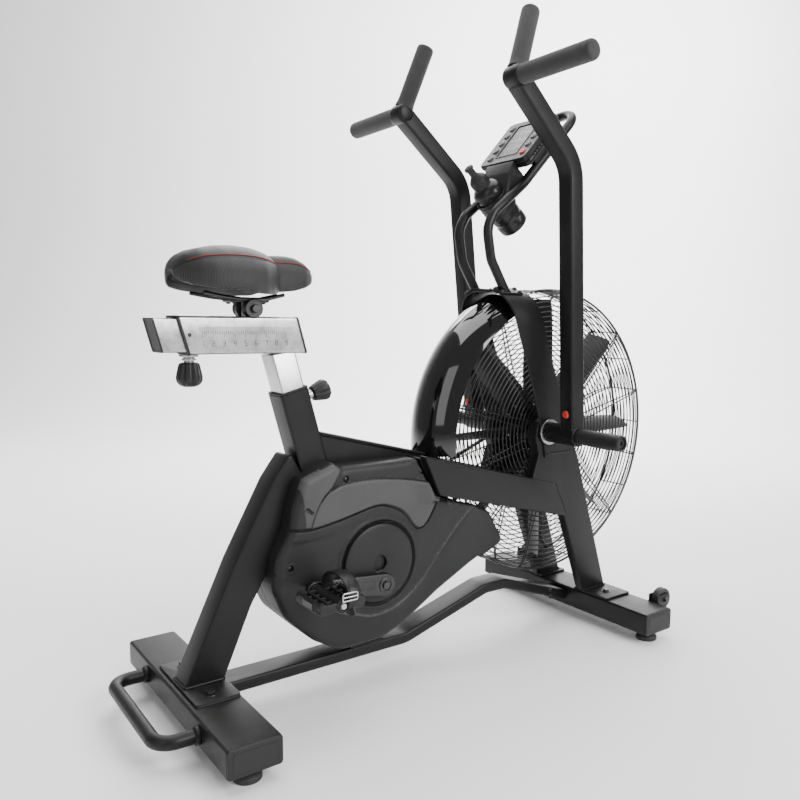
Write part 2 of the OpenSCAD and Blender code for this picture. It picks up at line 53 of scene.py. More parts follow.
PIVOT = Vector((852, 0, 491.5))       # the arms' axis
CRANK = Vector((401, 0, 216))         # the cranks' axis
CRANK_LENGTH = 160
REAR_FOOT, FRONT_FOOT = (47, 228), (1039, 252)      # x, and y to each side
WHEEL_X, WHEEL_Y, WHEEL_Z = 1114, 234, 77
TILT_X, TILT_Z = 159, 763             # the saddle's tilting bolt
KNOB_X = 48                           # the slider's pull pin
PEDAL_Y = 155                         # middle of a pedal, to each side
SIDES = ((-1, "right"), (1, "left"))
Y = Vector((0, 1, 0))
rad = math.radians
BODY_OF = {n: b for b, ns in frame["record"]["behaviour"]["bodies"].items() for n in ns}


# ---------------------------------------------------------------- geometry helpers (millimetres)
class Shape:
    """Gathers points and faces in millimetres and turns them into one mesh piece."""

    def __init__(self):
        self.v, self.f, self.m, self.uv = [], [], [], {}

    def add(self, verts, faces, m=0):
        n = len(self.v)
        self.v += [tuple(p) for p in verts]
        self.f += [tuple(n + i for i in face) for face in faces]
        self.m += [m] * len(faces)

    def piece(self, name, mats, body, stands_for=(), slot=None, smooth=38):
        mesh = bpy.data.meshes.new(name)
        mesh.from_pydata([((x - MID) / 1000, y / 1000, z / 1000) for x, y, z in self.v], [], self.f)
        mesh.validate()
        mats = mats if isinstance(mats, (list, tuple)) else [mats]
        for m in mats:
            mesh.materials.append(m)
        if len(mesh.polygons) == len(self.m):
            mesh.polygons.foreach_set("material_index", self.m)
        mesh.update()
        for p in mesh.polygons:
            p.use_smooth = True
        mesh.set_sharp_from_angle(angle=rad(smooth))
        obj = bpy.data.objects.new(name, mesh)
        bpy.context.scene.collection.objects.link(obj)
        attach(obj, body)
        if stands_for:
            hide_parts(*([stands_for] if isinstance(stands_for, str) else stands_for))
        return obj


# The planes that an outline is drawn in: each takes its (a, b) and a height c.
def xz(a, b, c):
    return (a, c, b)


def xy(a, b, c):
    return (a, b, c)


def yz(a, b, c):
    return (c, a, b)


def local(origin, u, v, w):
    """place() for a tilted frame: a along u, b along v, c along w."""
    o, u, v, w = Vector(origin), Vector(u), Vector(v), Vector(w)
    return lambda a, b, c: tuple(o + u * a + v * b + w * c)


def rect(x0, x1, z0, z1):
    return [(x0, z0), (x1, z0), (x1, z1), (x0, z1)]


def rounded(poly, r, n=4):
    """Rounds a polygon's corners; r is one radius or one per corner."""
    out = []
    k = len(poly)
    for i in range(k):
        p, a, b = Vector(poly[i]), Vector(poly[i - 1]), Vector(poly[(i + 1) % k])
        ri = r[i] if isinstance(r, (list, tuple)) else r
        u, w = (a - p), (b - p)
        lu, lw = u.length, w.length
        if ri <= 0 or lu < 1e-6 or lw < 1e-6:
            out.append(tuple(p))
            continue
        u, w = u / lu, w / lw
        ang = math.acos(max(-1, min(1, u.dot(w))))
        if ang > rad(176):
            out.append(tuple(p))
            continue
        t = min(ri / math.tan(ang / 2), lu * 0.48, lw * 0.48)
        rr = t * math.tan(ang / 2)
        c = p + (u + w).normalized() * (rr / math.sin(ang / 2))
        s, e = p + u * t - c, p + w * t - c
        a0, a1 = math.atan2(s.y, s.x), math.atan2(e.y, e.x)
        d = (a1 - a0 + math.pi) % (2 * math.pi) - math.pi
        for j in range(n + 1):
            q = a0 + d * j / n
            out.append((c.x + rr * math.cos(q), c.y + rr * math.sin(q)))
    return out


def area(poly):
    return sum(poly[i - 1][0] * poly[i][1] - poly[i][0] * poly[i - 1][1] for i in range(len(poly))) / 2


def inset(poly, d):
    """Moves each edge of a polygon inwards by d."""
    if area(poly) < 0:
        poly = poly[::-1]
    out = []
    k = len(poly)
    for i in range(k):
        p, a, b = Vector(poly[i]), Vector(poly[i - 1]), Vector(poly[(i + 1) % k])
        e0, e1 = (p - a), (b - p)
        if e0.length < 1e-9 or e1.length < 1e-9:
            out.append(tuple(p))
            continue
        e0.normalize(), e1.normalize()
        n0, n1 = Vector((-e0.y, e0.x)), Vector((-e1.y, e1.x))
        m = n0 + n1
        m = n0 if m.length < 1e-6 else m.normalized()
        out.append(tuple(p + m * d / max(0.35, m.dot(n0))))
    return out


def prism(s, poly, h0, thick, bevel=1.5, place=xz, m=0, steps=3):
    """A plate or bar of an outline, rounded over at both faces; h0 is the height of its first face."""
    if area(poly) < 0:
        poly = poly[::-1]
    k = len(poly)
    rings = []
    for j in range(steps + 1):
        a = math.pi / 2 * j / steps
        rings.append((bevel * (1 - math.sin(a)), h0 + bevel * (1 - math.cos(a))))
    rings += [(d, 2 * h0 + thick - h) for d, h in rings[::-1]]
    verts, faces = [], []
    for d, h in rings:
        verts += [place(a, b, h) for a, b in inset(poly, d)]
    for j in range(len(rings) - 1):
        for i in range(k):
            i2 = (i + 1) % k
            faces.append((j * k + i, j * k + i2, (j + 1) * k + i2, (j + 1) * k + i))
    faces.append(tuple(range(k - 1, -1, -1)))
    faces.append(tuple((len(rings) - 1) * k + i for i in range(k)))
    s.add(verts, faces, m)


def ring_prism(s, outer, inner, h0, h1, place=xz, m=0, lip=1.0):
    """A hollow bar: outer and inner outlines have the same number of points."""
    if area(outer) < 0:
        outer = outer[::-1]
    if area(inner) < 0:
        inner = inner[::-1]
    k = len(outer)
    loops = [(inset(outer, lip), h0), (outer, h0 + lip), (outer, h1 - lip), (inset(outer, lip), h1),
             (inset(inner, -lip * 0.6), h1), (inner, h1 - lip), (inner, h0 + lip),
             (inset(inner, -lip * 0.6), h0)]
    verts, faces = [], []
    for loop, h in loops:
        verts += [place(a, b, h) for a, b in loop]
    n = len(loops)
    for j in range(n):
        for i in range(k):
            i2, j2 = (i + 1) % k, (j + 1) % n
            faces.append((j * k + i, j * k + i2, j2 * k + i2, j2 * k + i))
    s.add(verts, faces, m)


def fillet(pts, r, n=8):
    """Smooths the corners of an open 3-D path."""
    out = [Vector(pts[0])]
    for i in range(1, len(pts) - 1):
        p, a, b = Vector(pts[i]), Vector(pts[i - 1]), Vector(pts[i + 1])
        u, w = (a - p), (b - p)
        ri = r[i - 1] if isinstance(r, (list, tuple)) else r
        lu, lw = u.length, w.length
        u, w = u / lu, w / lw
        ang = math.acos(max(-1, min(1, u.dot(w))))
        if ang > rad(178):
            out.append(p)
            continue
        t = min(ri / math.tan(ang / 2), lu * 0.49, lw * 0.49)
        rr = t * math.tan(ang / 2)
        c = p + (u + w).normalized() * (rr / math.sin(ang / 2))
        s, e = p + u * t - c, p + w * t - c
        axis = s.cross(e).normalized()
        full = s.angle(e)
        for j in range(n + 1):
            out.append(c + Matrix.Rotation(full * j / n, 3, axis) @ s)
    out.append(Vector(pts[-1]))
    return out


def sweep(s, pts, section, closed=False, m=0, side=None, scale=None):
    """Carries a cross-section along a path; side, if given, fixes the section's first direction."""
    pts = [Vector(p) for p in pts]
    n, k = len(pts), len(section)
    tang = []
    for i in range(n):
        a, b = pts[i - 1] if (i or closed) else pts[i], pts[(i + 1) % n] if (i < n - 1 or closed) else pts[i]
        tang.append((b - a).normalized())
    if side is None:
        ref = Vector((0, 0, 1)) if abs(tang[0].z) < 0.9 else Vector((1, 0, 0))
        na = tang[0].cross(ref).normalized()
    verts, faces = [], []
    for i in range(n):
        t = tang[i]
        if side is None:
            na = (na - t * na.dot(t)).normalized()
        else:
            na = (Vector(side) - t * Vector(side).dot(t)).normalized()
        nb = t.cross(na)
        q = scale(i / max(1, n - 1)) if scale else 1
        verts += [tuple(pts[i] + na * a * q + nb * b * q) for a, b in section]
    last = n if closed else n - 1
    for i in range(last):
        for j in range(k):
            j2, i2 = (j + 1) % k, (i + 1) % n
            faces.append((i * k + j, i * k + j2, i2 * k + j2, i2 * k + j))
    if not closed:
        faces.append(tuple(range(k - 1, -1, -1)))
        faces.append(tuple((n - 1) * k + j for j in range(k)))
    s.add(verts, faces, m)


def circle(r, n=20):
    return [(r * math.cos(2 * math.pi * i / n), r * math.sin(2 * math.pi * i / n)) for i in range(n)]


def tube(s, pts, r, n=20, closed=False, m=0):
    sweep(s, pts, circle(r, n), closed, m)


def bar(s, pts, width, depth, corner):
    """A rounded rectangular tube along a path in an X-Z plane; width is across Y."""
    sec = rounded(rect(-width / 2, width / 2, -depth / 2, depth / 2), corner, 4)
    sweep(s, pts, sec, side=Y)


def lathe(s, profile, origin, axis=(0, 1, 0), n=40, m=0, closed=False):
    """Turns a list of (radius, height) round an axis."""
    axis = Vector(axis).normalized()
    ref = Vector((1, 0, 0)) if abs(axis.x) < 0.9 else Vector((0, 0, 1))
    u = axis.cross(ref).normalized()
    w = axis.cross(u)
    o = Vector(origin)
    k = len(profile)
    verts, faces = [], []
    for i in range(n):
        a = 2 * math.pi * i / n
        d = u * math.cos(a) + w * math.sin(a)
        verts += [tuple(o + d * r + axis * h) for r, h in profile]
    for i in range(n):
        i2 = (i + 1) % n
        for j in range(k - 1 + (1 if closed else 0)):
            j2 = (j + 1) % k
            faces.append((i * k + j, i * k + j2, i2 * k + j2, i2 * k + j))
    s.add(verts, faces, m)


def bead(s, pts, r, closed=False):
    """A rippled weld bead laid along a path, a ripple every 3 mm."""
    pts = [Vector(p) for p in pts]
    if closed:
        pts.append(pts[0])
    fine = []
    for a, b in zip(pts, pts[1:]):
        n = max(1, int((b - a).length / 1.5))
        fine += [a.lerp(b, i / n) for i in range(n)]
    fine.append(pts[-1])
    n = len(fine)
    sweep(s, fine, circle(r, 8), scale=lambda t: 1 + 0.16 * math.sin(t * (n - 1) * math.pi))


def bolt(s, origin, axis, r, h, m=0):
    """A button-head bolt with a hexagonal socket, standing on a washer."""
    o, a = Vector(origin), Vector(axis).normalized()
    lathe(s, [(0, 0), (r * 1.45, 0), (r * 1.5, 0.5), (r * 1.45, 1.2), (0, 1.2)], o, a, 28, m)
    rows = ((1, 0), (1, 0.35), (0.93, 0.65), (0.72, 0.92), (0.52, 1), (0.48, 1), (0.46, 0.35), (0, 0.3))
    lathe(s, [(r * wide, 1.2 + h * high) for wide, high in rows], o, a, 24, m)


def hexbolt(s, origin, axis, r, h, m=0):
    """A hexagon-head bolt, standing on a washer."""
    o, a = Vector(origin), Vector(axis).normalized()
    lathe(s, [(0, 0), (r * 1.35, 0), (r * 1.4, 0.6), (r * 1.35, 1.4), (0, 1.4)], o, a, 28, m)
    lathe(s, [(r * 1.02, 1.2), (r * 1.02, 1.2 + h - 1), (r * 0.92, 1.2 + h), (0, 1.2 + h)], o, a, 6, m)


def arc(cx, cz, r, a0, a1, n=24):
    return [(cx + r * math.cos(rad(a0 + (a1 - a0) * i / n)), cz + r * math.sin(rad(a0 + (a1 - a0) * i / n)))
            for i in range(n + 1)]


# ---------------------------------------------------------------- materials
class Nodes:
    """Short forms for building one procedural material."""

    def __init__(self, name):
        self.mat = bpy.data.materials.new(name)
        self.mat.use_nodes = True
        self.t = self.mat.node_tree
        self.t.nodes.clear()
        self.out = self.t.nodes.new("ShaderNodeOutputMaterial")
        self.b = self.t.nodes.new("ShaderNodeBsdfPrincipled")
        self.t.links.new(self.b.outputs[0], self.out.inputs[0])
        self.co = self.t.nodes.new("ShaderNodeTexCoord").outputs["Object"]
        self.normal = None

    def put(self, socket, value):
        if hasattr(value, "links"):
            self.t.links.new(value, socket)
        else:
            socket.default_value = value

    def set(self, **kw):
        for k, v in kw.items():
            self.put(self.b.inputs[k.replace("_", " ")], v)
        return self

    def noise(self, scale, detail=4, rough=0.55, co=None):
        n = self.t.nodes.new("ShaderNodeTexNoise")
        self.put(n.inputs["Vector"], co or self.co)
        self.put(n.inputs["Scale"], scale)
        self.put(n.inputs["Detail"], detail)
        self.put(n.inputs["Roughness"], rough)
        return n.outputs["Fac"]

    def voronoi(self, scale, feature="F1"):
        n = self.t.nodes.new("ShaderNodeTexVoronoi")
        n.feature = feature
        self.put(n.inputs["Vector"], self.co)
        self.put(n.inputs["Scale"], scale)
        return n.outputs["Distance"]

    def math(self, op, a, b=0.0, clamp=False):
        n = self.t.nodes.new("ShaderNodeMath")
        n.operation, n.use_clamp = op, clamp
        for s, v in zip(n.inputs, (a, b)):
            self.put(s, v)
        return n.outputs[0]

    def remap(self, v, a, b, lo, hi):
        n = self.t.nodes.new("ShaderNodeMapRange")
        for s, x in zip(n.inputs, (v, a, b, lo, hi)):
            self.put(s, x)
        return n.outputs[0]

    def mix(self, f, a, b):
        n = self.t.nodes.new("ShaderNodeMix")
        n.data_type = "RGBA"
        self.put(n.inputs[0], f)
        self.put(n.inputs[6], a)
        self.put(n.inputs[7], b)
        return n.outputs[2]

    def scaled(self, x, y, z):
        n = self.t.nodes.new("ShaderNodeMapping")
        self.put(n.inputs["Vector"], self.co)
        n.inputs["Scale"].default_value = (x, y, z)
        return n.outputs[0]

    def split(self, vector):
        n = self.t.nodes.new("ShaderNodeSeparateXYZ")
        self.put(n.inputs[0], vector)
        return n.outputs

    def bump(self, height, strength, dist=0.001):
        n = self.t.nodes.new("ShaderNodeBump")
        n.inputs["Strength"].default_value = strength
        n.inputs["Distance"].default_value = dist
        self.put(n.inputs["Height"], height)
        if self.normal is not None:
            self.put(n.inputs["Normal"], self.normal)
        self.normal = n.outputs[0]
        self.t.links.new(self.normal, self.b.inputs["Normal"])
        return self


def grey(v, warm=0.0):
    """A grey of brightness v, or a slightly warm one."""
    return (v * (1 + warm), v, v * (1 - warm), 1)


def paint(name, v=0.006, rough=0.38, grain=0.10):
    """Powder-coated steel: a fine orange peel, uneven gloss, faint rubs and settled dust on upper faces."""
    n = Nodes(name)
    peel = n.noise(900, 3, 0.6)
    cloud = n.noise(9, 5, 0.6)
    fine = n.noise(60, 6, 0.65)
    rubs = n.noise(26, 8, 0.75, co=n.scaled(1, 1, 5))
    rub = n.remap(rubs, 0.60, 0.74, 0, 1)
    col = n.mix(n.remap(cloud, 0.3, 0.7, 0, 1), grey(v * 0.82), grey(v * 1.3, 0.01))
    col = n.mix(n.math("MULTIPLY", rub, 0.25), col, grey(v * 2.6, 0.01))
    geo = n.t.nodes.new("ShaderNodeNewGeometry")
    up = n.remap(n.split(geo.outputs["Normal"])[2], 0.55, 1.0, 0, 1)
    specks = n.math("MULTIPLY", up, n.remap(fine, 0.45, 0.8, 0, 1))
    col = n.mix(n.math("MULTIPLY", specks, 0.08), col, grey(0.18, 0.05))
    r = n.math("ADD", n.remap(cloud, 0.25, 0.75, rough - 0.05, rough + 0.07), n.math("MULTIPLY", fine, 0.05))
    r = n.math("ADD", r, n.math("MULTIPLY", specks, 0.06), clamp=True)
    n.set(Base_Color=col, Roughness=r, IOR=1.33)
    n.bump(peel, grain, 0.0004).bump(n.noise(230, 2), grain * 0.8, 0.0008)
    return n.mat


def plastic(name, v, rough, grain=0.16, ior=1.33):
    """Moulded plastic: a spark-eroded grain, flow marks and handling shine."""
    n = Nodes(name)
    cell = n.voronoi(1500, feature="SMOOTH_F1")
    cloud = n.noise(7, 5, 0.55)
    flow = n.noise(20, 6, 0.7, co=n.scaled(1, 3, 0.5))
    col = n.mix(n.remap(cloud, 0.3, 0.72, 0, 1), grey(v * 0.86), grey(v * 1.22))
    col = n.mix(n.math("MULTIPLY", n.remap(flow, 0.62, 0.78, 0, 1), 0.18), col, grey(v * 2.2))
    r = n.math("ADD", n.remap(flow, 0.3, 0.7, rough - 0.06, rough + 0.06), n.math("MULTIPLY", cloud, 0.06))
    n.set(Base_Color=col, Roughness=r, IOR=ior)
    n.bump(cell, grain, 0.0005).bump(n.noise(240, 4), grain * 0.7, 0.0006)
    return n.mat


def rubber(name, v=0.017, rough=0.68):
    """Black rubber: matt, with pale scuffs."""
    n = Nodes(name)
    fine = n.noise(700, 5, 0.7)
    wear = n.noise(24, 7, 0.7)
    col = n.mix(n.remap(wear, 0.45, 0.75, 0, 1), grey(v), grey(v * 2.4, 0.02))
    n.set(Base_Color=col, Roughness=n.remap(wear, 0.3, 0.7, rough - 0.08, rough + 0.12), IOR=1.5)
    n.bump(fine, 0.3, 0.0005).bump(n.noise(90, 4), 0.25, 0.0008)
    return n.mat


def foam(name):
    """Closed-cell foam grip: matt, with open pores and a slight bloom."""
    n = Nodes(name)
    pores = n.voronoi(2100, feature="F1")
    big = n.voronoi(800, feature="F1")
    cloud = n.noise(22, 5, 0.6)
    col = n.mix(n.remap(cloud, 0.35, 0.7, 0, 1), grey(0.014), grey(0.027, 0.01))
    # the pores' centres are painted near-black, as painted shade inside them
    col = n.mix(n.remap(pores, 0.0, 0.35, 0.6, 0), col, grey(0.004))
    n.set(Base_Color=col, Roughness=n.remap(cloud, 0.3, 0.7, 0.78, 0.92), IOR=1.45)
    n.b.inputs["Sheen Weight"].default_value = 0.18
    n.b.inputs["Sheen Roughness"].default_value = 0.5
    n.bump(pores, 0.5, 0.0006).bump(big, 0.2, 0.0006).bump(n.noise(120, 3), 0.15, 0.001)
    return n.mat


def steel(name, v=0.55, rough=0.28, brush=None, tint=0.0, stain_and_reflection=0.5):
    """Bare or plated steel; brush is the mapping scale that stretches the scratches."""
    n = Nodes(name)
    co = n.scaled(*brush) if brush else n.co
    lines = n.noise(120, 8, 0.8, co=co)
    smear = n.noise(6, 5, 0.6)
    spots = n.noise(70, 6, 0.75)
    reflection_blot = n.noise(34, 7, 0.72)
    col = n.mix(n.remap(smear, 0.3, 0.7, 0, 1), grey(v * 0.80, tint), grey(v * 1.12, tint))
    # darker blotches painted into the colour stand in for patchy reflections, a painted reflection; the
    # smaller warm spots on the next line are stains
    col = n.mix(n.math("MULTIPLY", n.remap(reflection_blot, 0.42, 0.68, 0, 1), stain_and_reflection * 0.7), col, grey(v * 0.42, 0.03))
    col = n.mix(n.math("MULTIPLY", n.remap(spots, 0.60, 0.74, 0, 1), stain_and_reflection), col, grey(v * 0.4, 0.05))
    r = n.math("ADD", n.remap(lines, 0.3, 0.7, rough - 0.07, rough + 0.09), n.math("MULTIPLY", smear, 0.1))
    n.set(Base_Color=col, Roughness=r, Metallic=1.0)
    n.bump(lines, 0.18, 0.0003).bump(spots, 0.06, 0.0005)
    return n.mat


def gloss(name):
    """Glossy black acrylic with faint waves and fine dust."""
    n = Nodes(name)
    wav = n.noise(11, 2, 0.4)
    dust = n.noise(420, 3, 0.7)
    scr = n.noise(45, 8, 0.85, co=n.scaled(1, 7, 1))
    col = n.mix(n.remap(dust, 0.66, 0.8, 0, 0.25), grey(0.004), grey(0.05, 0.02))
    r = n.math("ADD", n.remap(wav, 0.3, 0.7, 0.05, 0.09), n.remap(scr, 0.6, 0.8, 0, 0.10), clamp=True)
    n.set(Base_Color=col, Roughness=r, IOR=1.5)
    n.b.inputs["Coat Weight"].default_value = 0.6
    n.b.inputs["Coat Roughness"].default_value = 0.04
    n.bump(wav, 0.20, 0.004).bump(dust, 0.02, 0.0003)
    return n.mat


def vinyl(name, weave=False):
    """Saddle vinyl: a leather grain on the top, a carbon-look weave on the sides."""
    n = Nodes(name)
    cloud = n.noise(14, 5, 0.6)
    grain = n.voronoi(720, feature="SMOOTH_F1")
    if weave:
        x, y, z = n.split(n.co)
        a = n.math("SINE", n.math("MULTIPLY", n.math("ADD", n.math("ADD", x, y), z), 1500))
        b = n.math("SINE", n.math("MULTIPLY", n.math("SUBTRACT", n.math("SUBTRACT", x, y), z), 1500))
        chk = n.math("MULTIPLY", a, b)
        f = n.remap(chk, -0.25, 0.25, 0, 1)
        col = n.mix(f, grey(0.006), grey(0.036))
        col = n.mix(n.remap(cloud, 0.3, 0.8, 0, 0.5), col, grey(0.02))
        n.set(Base_Color=col, Roughness=n.remap(f, 0, 1, 0.40, 0.52), IOR=1.38)
        n.bump(chk, 0.5, 0.0005).bump(n.noise(60, 4), 0.2, 0.002)
    else:
        col = n.mix(n.remap(cloud, 0.3, 0.75, 0, 1), grey(0.011), grey(0.019, 0.01))
        n.set(Base_Color=col, Roughness=n.remap(cloud, 0.3, 0.7, 0.46, 0.58), IOR=1.36)
        n.bump(grain, 0.35, 0.0005).bump(n.noise(60, 4), 0.22, 0.002).bump(n.noise(16, 3), 0.2, 0.006)
    return n.mat


def coloured(name, rgb, rough, scale=300):
    """A plain colour that varies a little in shade and gloss."""
    n = Nodes(name)
    f = n.noise(scale, 5, 0.6)
    c = n.noise(20, 5, 0.6)
    a = tuple(x * 0.75 for x in rgb) + (1,)
    b = tuple(min(1, x * 1.18) for x in rgb) + (1,)
    n.set(Base_Color=n.mix(n.remap(c, 0.3, 0.7, 0, 1), a, b),
          Roughness=n.remap(f, 0.3, 0.7, rough - 0.07, rough + 0.09), IOR=1.48)
    n.bump(f, 0.2, 0.0004)
    return n.mat


PAINT = paint("black_paint")
TRIM = plastic("plastic_trim", 0.018, 0.46)
RUBBER = rubber("rubber_feet")
TYRE = rubber("wheel_rubber", 0.02, 0.6)
MACHINED = steel("machined_steel", 0.42, 0.24)
PEG = plastic("peg_sleeve", 0.018, 0.4, 0.2)
CONSOLE = plastic("console_plastic", 0.009, 0.34, 0.12)
RED = coloured("red_key", (0.62, 0.02, 0.015), 0.35)
GREY = coloured("grey_key", (0.10, 0.10, 0.105), 0.42)
BOTTLE = plastic("bottle_plastic", 0.013, 0.22, 0.04)
COVER = plastic("cover_plastic", 0.013, 0.44, 0.2)
# a paler copy of the cover plastic, as painted light: the panel and block lit as they face the lamps, and a
# painted highlight line along the ridge
COVER_PAINTED_LIGHT = plastic("cover_painted_light", 0.048, 0.46, 0.22)
# near-black plastic: painted shade in the covers' groove, in the gap round each disc and along the saddle
# seams, and the toe straps' dark studs
DARK_AND_SHADE = plastic("dark_plastic_and_painted_shade", 0.006, 0.6)
PEDAL = plastic("pedal_plastic", 0.014, 0.4, 0.2)
STRAP = plastic("strap_plastic", 0.012, 0.38, 0.18)
CHAIN = steel("chain_steel", 0.22, 0.35, tint=0.03)
BLADE = paint("fan_paint", 0.018, 0.42, 0.15)
WIRE = paint("wire_paint", 0.016, 0.30, 0.06)
SHROUD = gloss("shroud_acrylic")
FOAM = foam("grip_foam")
# brushed chrome: its strong darker blotches are a painted reflection, its spots are stains
CHROME = steel("brushed_chrome", 0.54, 0.25, brush=(0.35, 6, 22), stain_and_reflection=1.15)
POST_STEEL = steel("post_chrome", 0.66, 0.24, brush=(16, 16, 0.35), stain_and_reflection=0.3)
CLAMP = steel("clamp_steel", 0.06, 0.36, stain_and_reflection=0.2)
VINYL = vinyl("saddle_vinyl")
WEAVE = vinyl("saddle_weave", weave=True)
THREAD = coloured("red_thread", (0.32, 0.014, 0.014), 0.6, 1200)
PAN = plastic("saddle_pan", 0.008, 0.85, 0.3, ior=1.2)
KNOB = plastic("knob_plastic", 0.014, 0.36, 0.12)
INK = plastic("scale_ink", 0.03, 0.5)
LCD = coloured("lcd_glass", (0.075, 0.082, 0.078), 0.14, 60)
SEGMENT = coloured("lcd_segment", (0.04, 0.045, 0.04), 0.3)
BOLT = steel("black_bolt", 0.07, 0.33, stain_and_reflection=0.3)
# near-black discs and patches put where holes and slots are, as painted shade inside them
HOLE_SHADE = plastic("painted_hole_shade", 0.004, 0.8)


# ---------------------------------------------------------------- base
def beam(x0, width, length):
    """A cross beam's steel and its two end caps."""
    half = length / 2 - 5
    steel_part, caps = Shape(), Shape()
    prism(steel_part, rounded(rect(x0, x0 + width, 25, 75), 5, 5), -half, 2 * half, bevel=0.6, steps=1)
    for side in (-1, 1):
        cap_y = half if side > 0 else -half - 5
        panel_y = half + 5 if side > 0 else -half - 5.6
        prism(caps, rounded(rect(x0 + 0.2, x0 + width - 0.2, 25.2, 74.8), 6, 5), cap_y, 5, bevel=1.8)
        prism(caps, rounded(rect(x0 + 9, x0 + width - 9, 33, 67), 5, 4), panel_y, 0.6, bevel=0.5, steps=1)
    return steel_part, caps


def foot_bosses(s, foot):
    for side in (-1, 1):
        lathe(s, [(15, 25.2), (15, 23.6), (14, 22.6), (6, 22.6), (6, 25)], (foot[0], side * foot[1], 0),
              (0, 0, 1), 28)


def wheel_ears(s):
    """Two plates and a bolt at each end of the front beam, which hold a transport wheel."""
    for side in (-1, 1):
        y = side * WHEEL_Y
        prism(s, rounded(rect(y - 16, y + 16, 52, 75), 2), 1084, 3, bevel=0.6, place=yz)
        ear = [(1084, 59), (WHEEL_X, 63)] + arc(WHEEL_X, WHEEL_Z, 14, -90, 90, 12) + [(1084, 91)]
        for off in (-13.5, 10.5):
            prism(s, ear, y + off, 3, bevel=0.7)
        for out in (-1, 1):
            hexbolt(s, (WHEEL_X, y + out * 13.5, WHEEL_Z), (0, out, 0), 6, 4.4, m=1)
        tube(s, [(WHEEL_X, y - 13, WHEEL_Z), (WHEEL_X, y + 13, WHEEL_Z)], 4, 16, m=1)


rear, rear_caps = beam(0, 95, 525)
foot_bosses(rear, REAR_FOOT)
for side in (-1, 1):
    bead(rear, [(0, side * 140 + p, 50 + q) for p, q in circle(14.5, 24)], 1.8, closed=True)
rear.piece("rear_beam_steel", PAINT, "frame", "rear_beam", "black_paint")
front, front_caps = beam(994, 90, 574)
foot_bosses(front, FRONT_FOOT)
wheel_ears(front)
front.piece("front_beam_steel", [PAINT, BOLT], "frame", "front_beam", "black_paint")
rear_caps.add(front_caps.v, front_caps.f)
rear_caps.piece("beam_end_caps", TRIM, "frame", "beam_caps", "plastic_trim")


def levelling_foot(node, body, x, y):
    """A ribbed rubber disc with its nut and screw."""
    s = Shape()
    lathe(s, [(0, 0), (22.6, 0), (23.8, 1.2), (24, 3), (23.4, 4), (23.4, 4.8), (24, 5.6), (24, 8),
              (22.8, 9.6), (15.4, 14.6), (14, 15.2), (9, 15.4)], (x, y, 0), (0, 0, 1), 48)
    for k in range(20):
        c, q = math.cos(k * math.pi / 10), math.sin(k * math.pi / 10)
        prism(s, rect(-1.3, 1.3, 1.8, 7.6), 23.4, 0.8, bevel=0.25, steps=1,
              place=local((x, y, 0), (-q, c, 0), (0, 0, 1), (c, q, 0)))
    lathe(s, [(9, 15.2), (9, 18), (5, 18)], (x, y, 0), (0, 0, 1), 6, m=1)
    thread = [(5.0 + (0.5 if k % 2 else 0), 18 + k * 1.0) for k in range(12)]
    lathe(s, thread + [(0, 30)], (x, y, 0), (0, 0, 1), 24, m=1)
    s.piece(node + "_pad", [RUBBER, BOLT], body, node, "rubber_feet")


for end, (foot_x, foot_y) in (("rear", REAR_FOOT), ("front", FRONT_FOOT)):
    for side, word in SIDES:
        levelling_foot(f"foot_{end}_{word}", f"foot_{end[0]}{word[0]}", foot_x, side * foot_y)


def transport_wheel(side, word):
    """A grooved tyre on a hub with six ribs."""
    s = Shape()
    at = (WHEEL_X, side * WHEEL_Y, WHEEL_Z)
    half_tyre = [(19, 8.6), (24.5, 8.8), (25.6, 7.8), (26, 6), (26, 2.4), (25.3, 2)]
    half_hub = [(4.2, 10.2), (8.6, 10.2), (9, 9.4), (9, 6.4), (17.5, 5.4), (18.2, 8.2), (19.4, 8.7)]
    for half, count, m in ((half_tyre, 56, 0), (half_hub, 48, 1)):
        lathe(s, [(r, -h) for r, h in half] + half[::-1], at, Y, count, m)
    for k in range(6):
        c, q = math.cos(k * math.pi / 3), math.sin(k * math.pi / 3)
        prism(s, rect(8.5, 18.4, -1.2, 1.2), -7.6, 15.2, bevel=0.5, m=1, steps=1,
              place=local(at, (c, 0, q), (-q, 0, c), Y))
    s.piece(f"wheel_{word}_tyre", [TYRE, TRIM], f"wheel_{word[0]}", f"wheel_{word}", "wheel_rubber")


for side, word in SIDES:
    transport_wheel(side, word)

# the lift handle on the rear beam
s = Shape()
grip = fillet([(0, -140, 50), (-68, -140, 50), (-68, 140, 50), (0, 140, 50)], 36, 14)
tube(s, grip, 12.5, 28)
for side in (-1, 1):
    lathe(s, [(12.6, -1), (15.6, -0.6), (16.2, 1), (16.2, 7), (15.4, 8.2), (12.6, 8.6)], (0, side * 140, 50),
          (-1, 0, 0), 32)
    bead(s, [(-8.8, side * 140 + p, 50 + q) for p, q in circle(12.8, 24)], 1.5, closed=True)
s.piece("handle_loop", PAINT, "frame", "lift_handle", "black_paint")

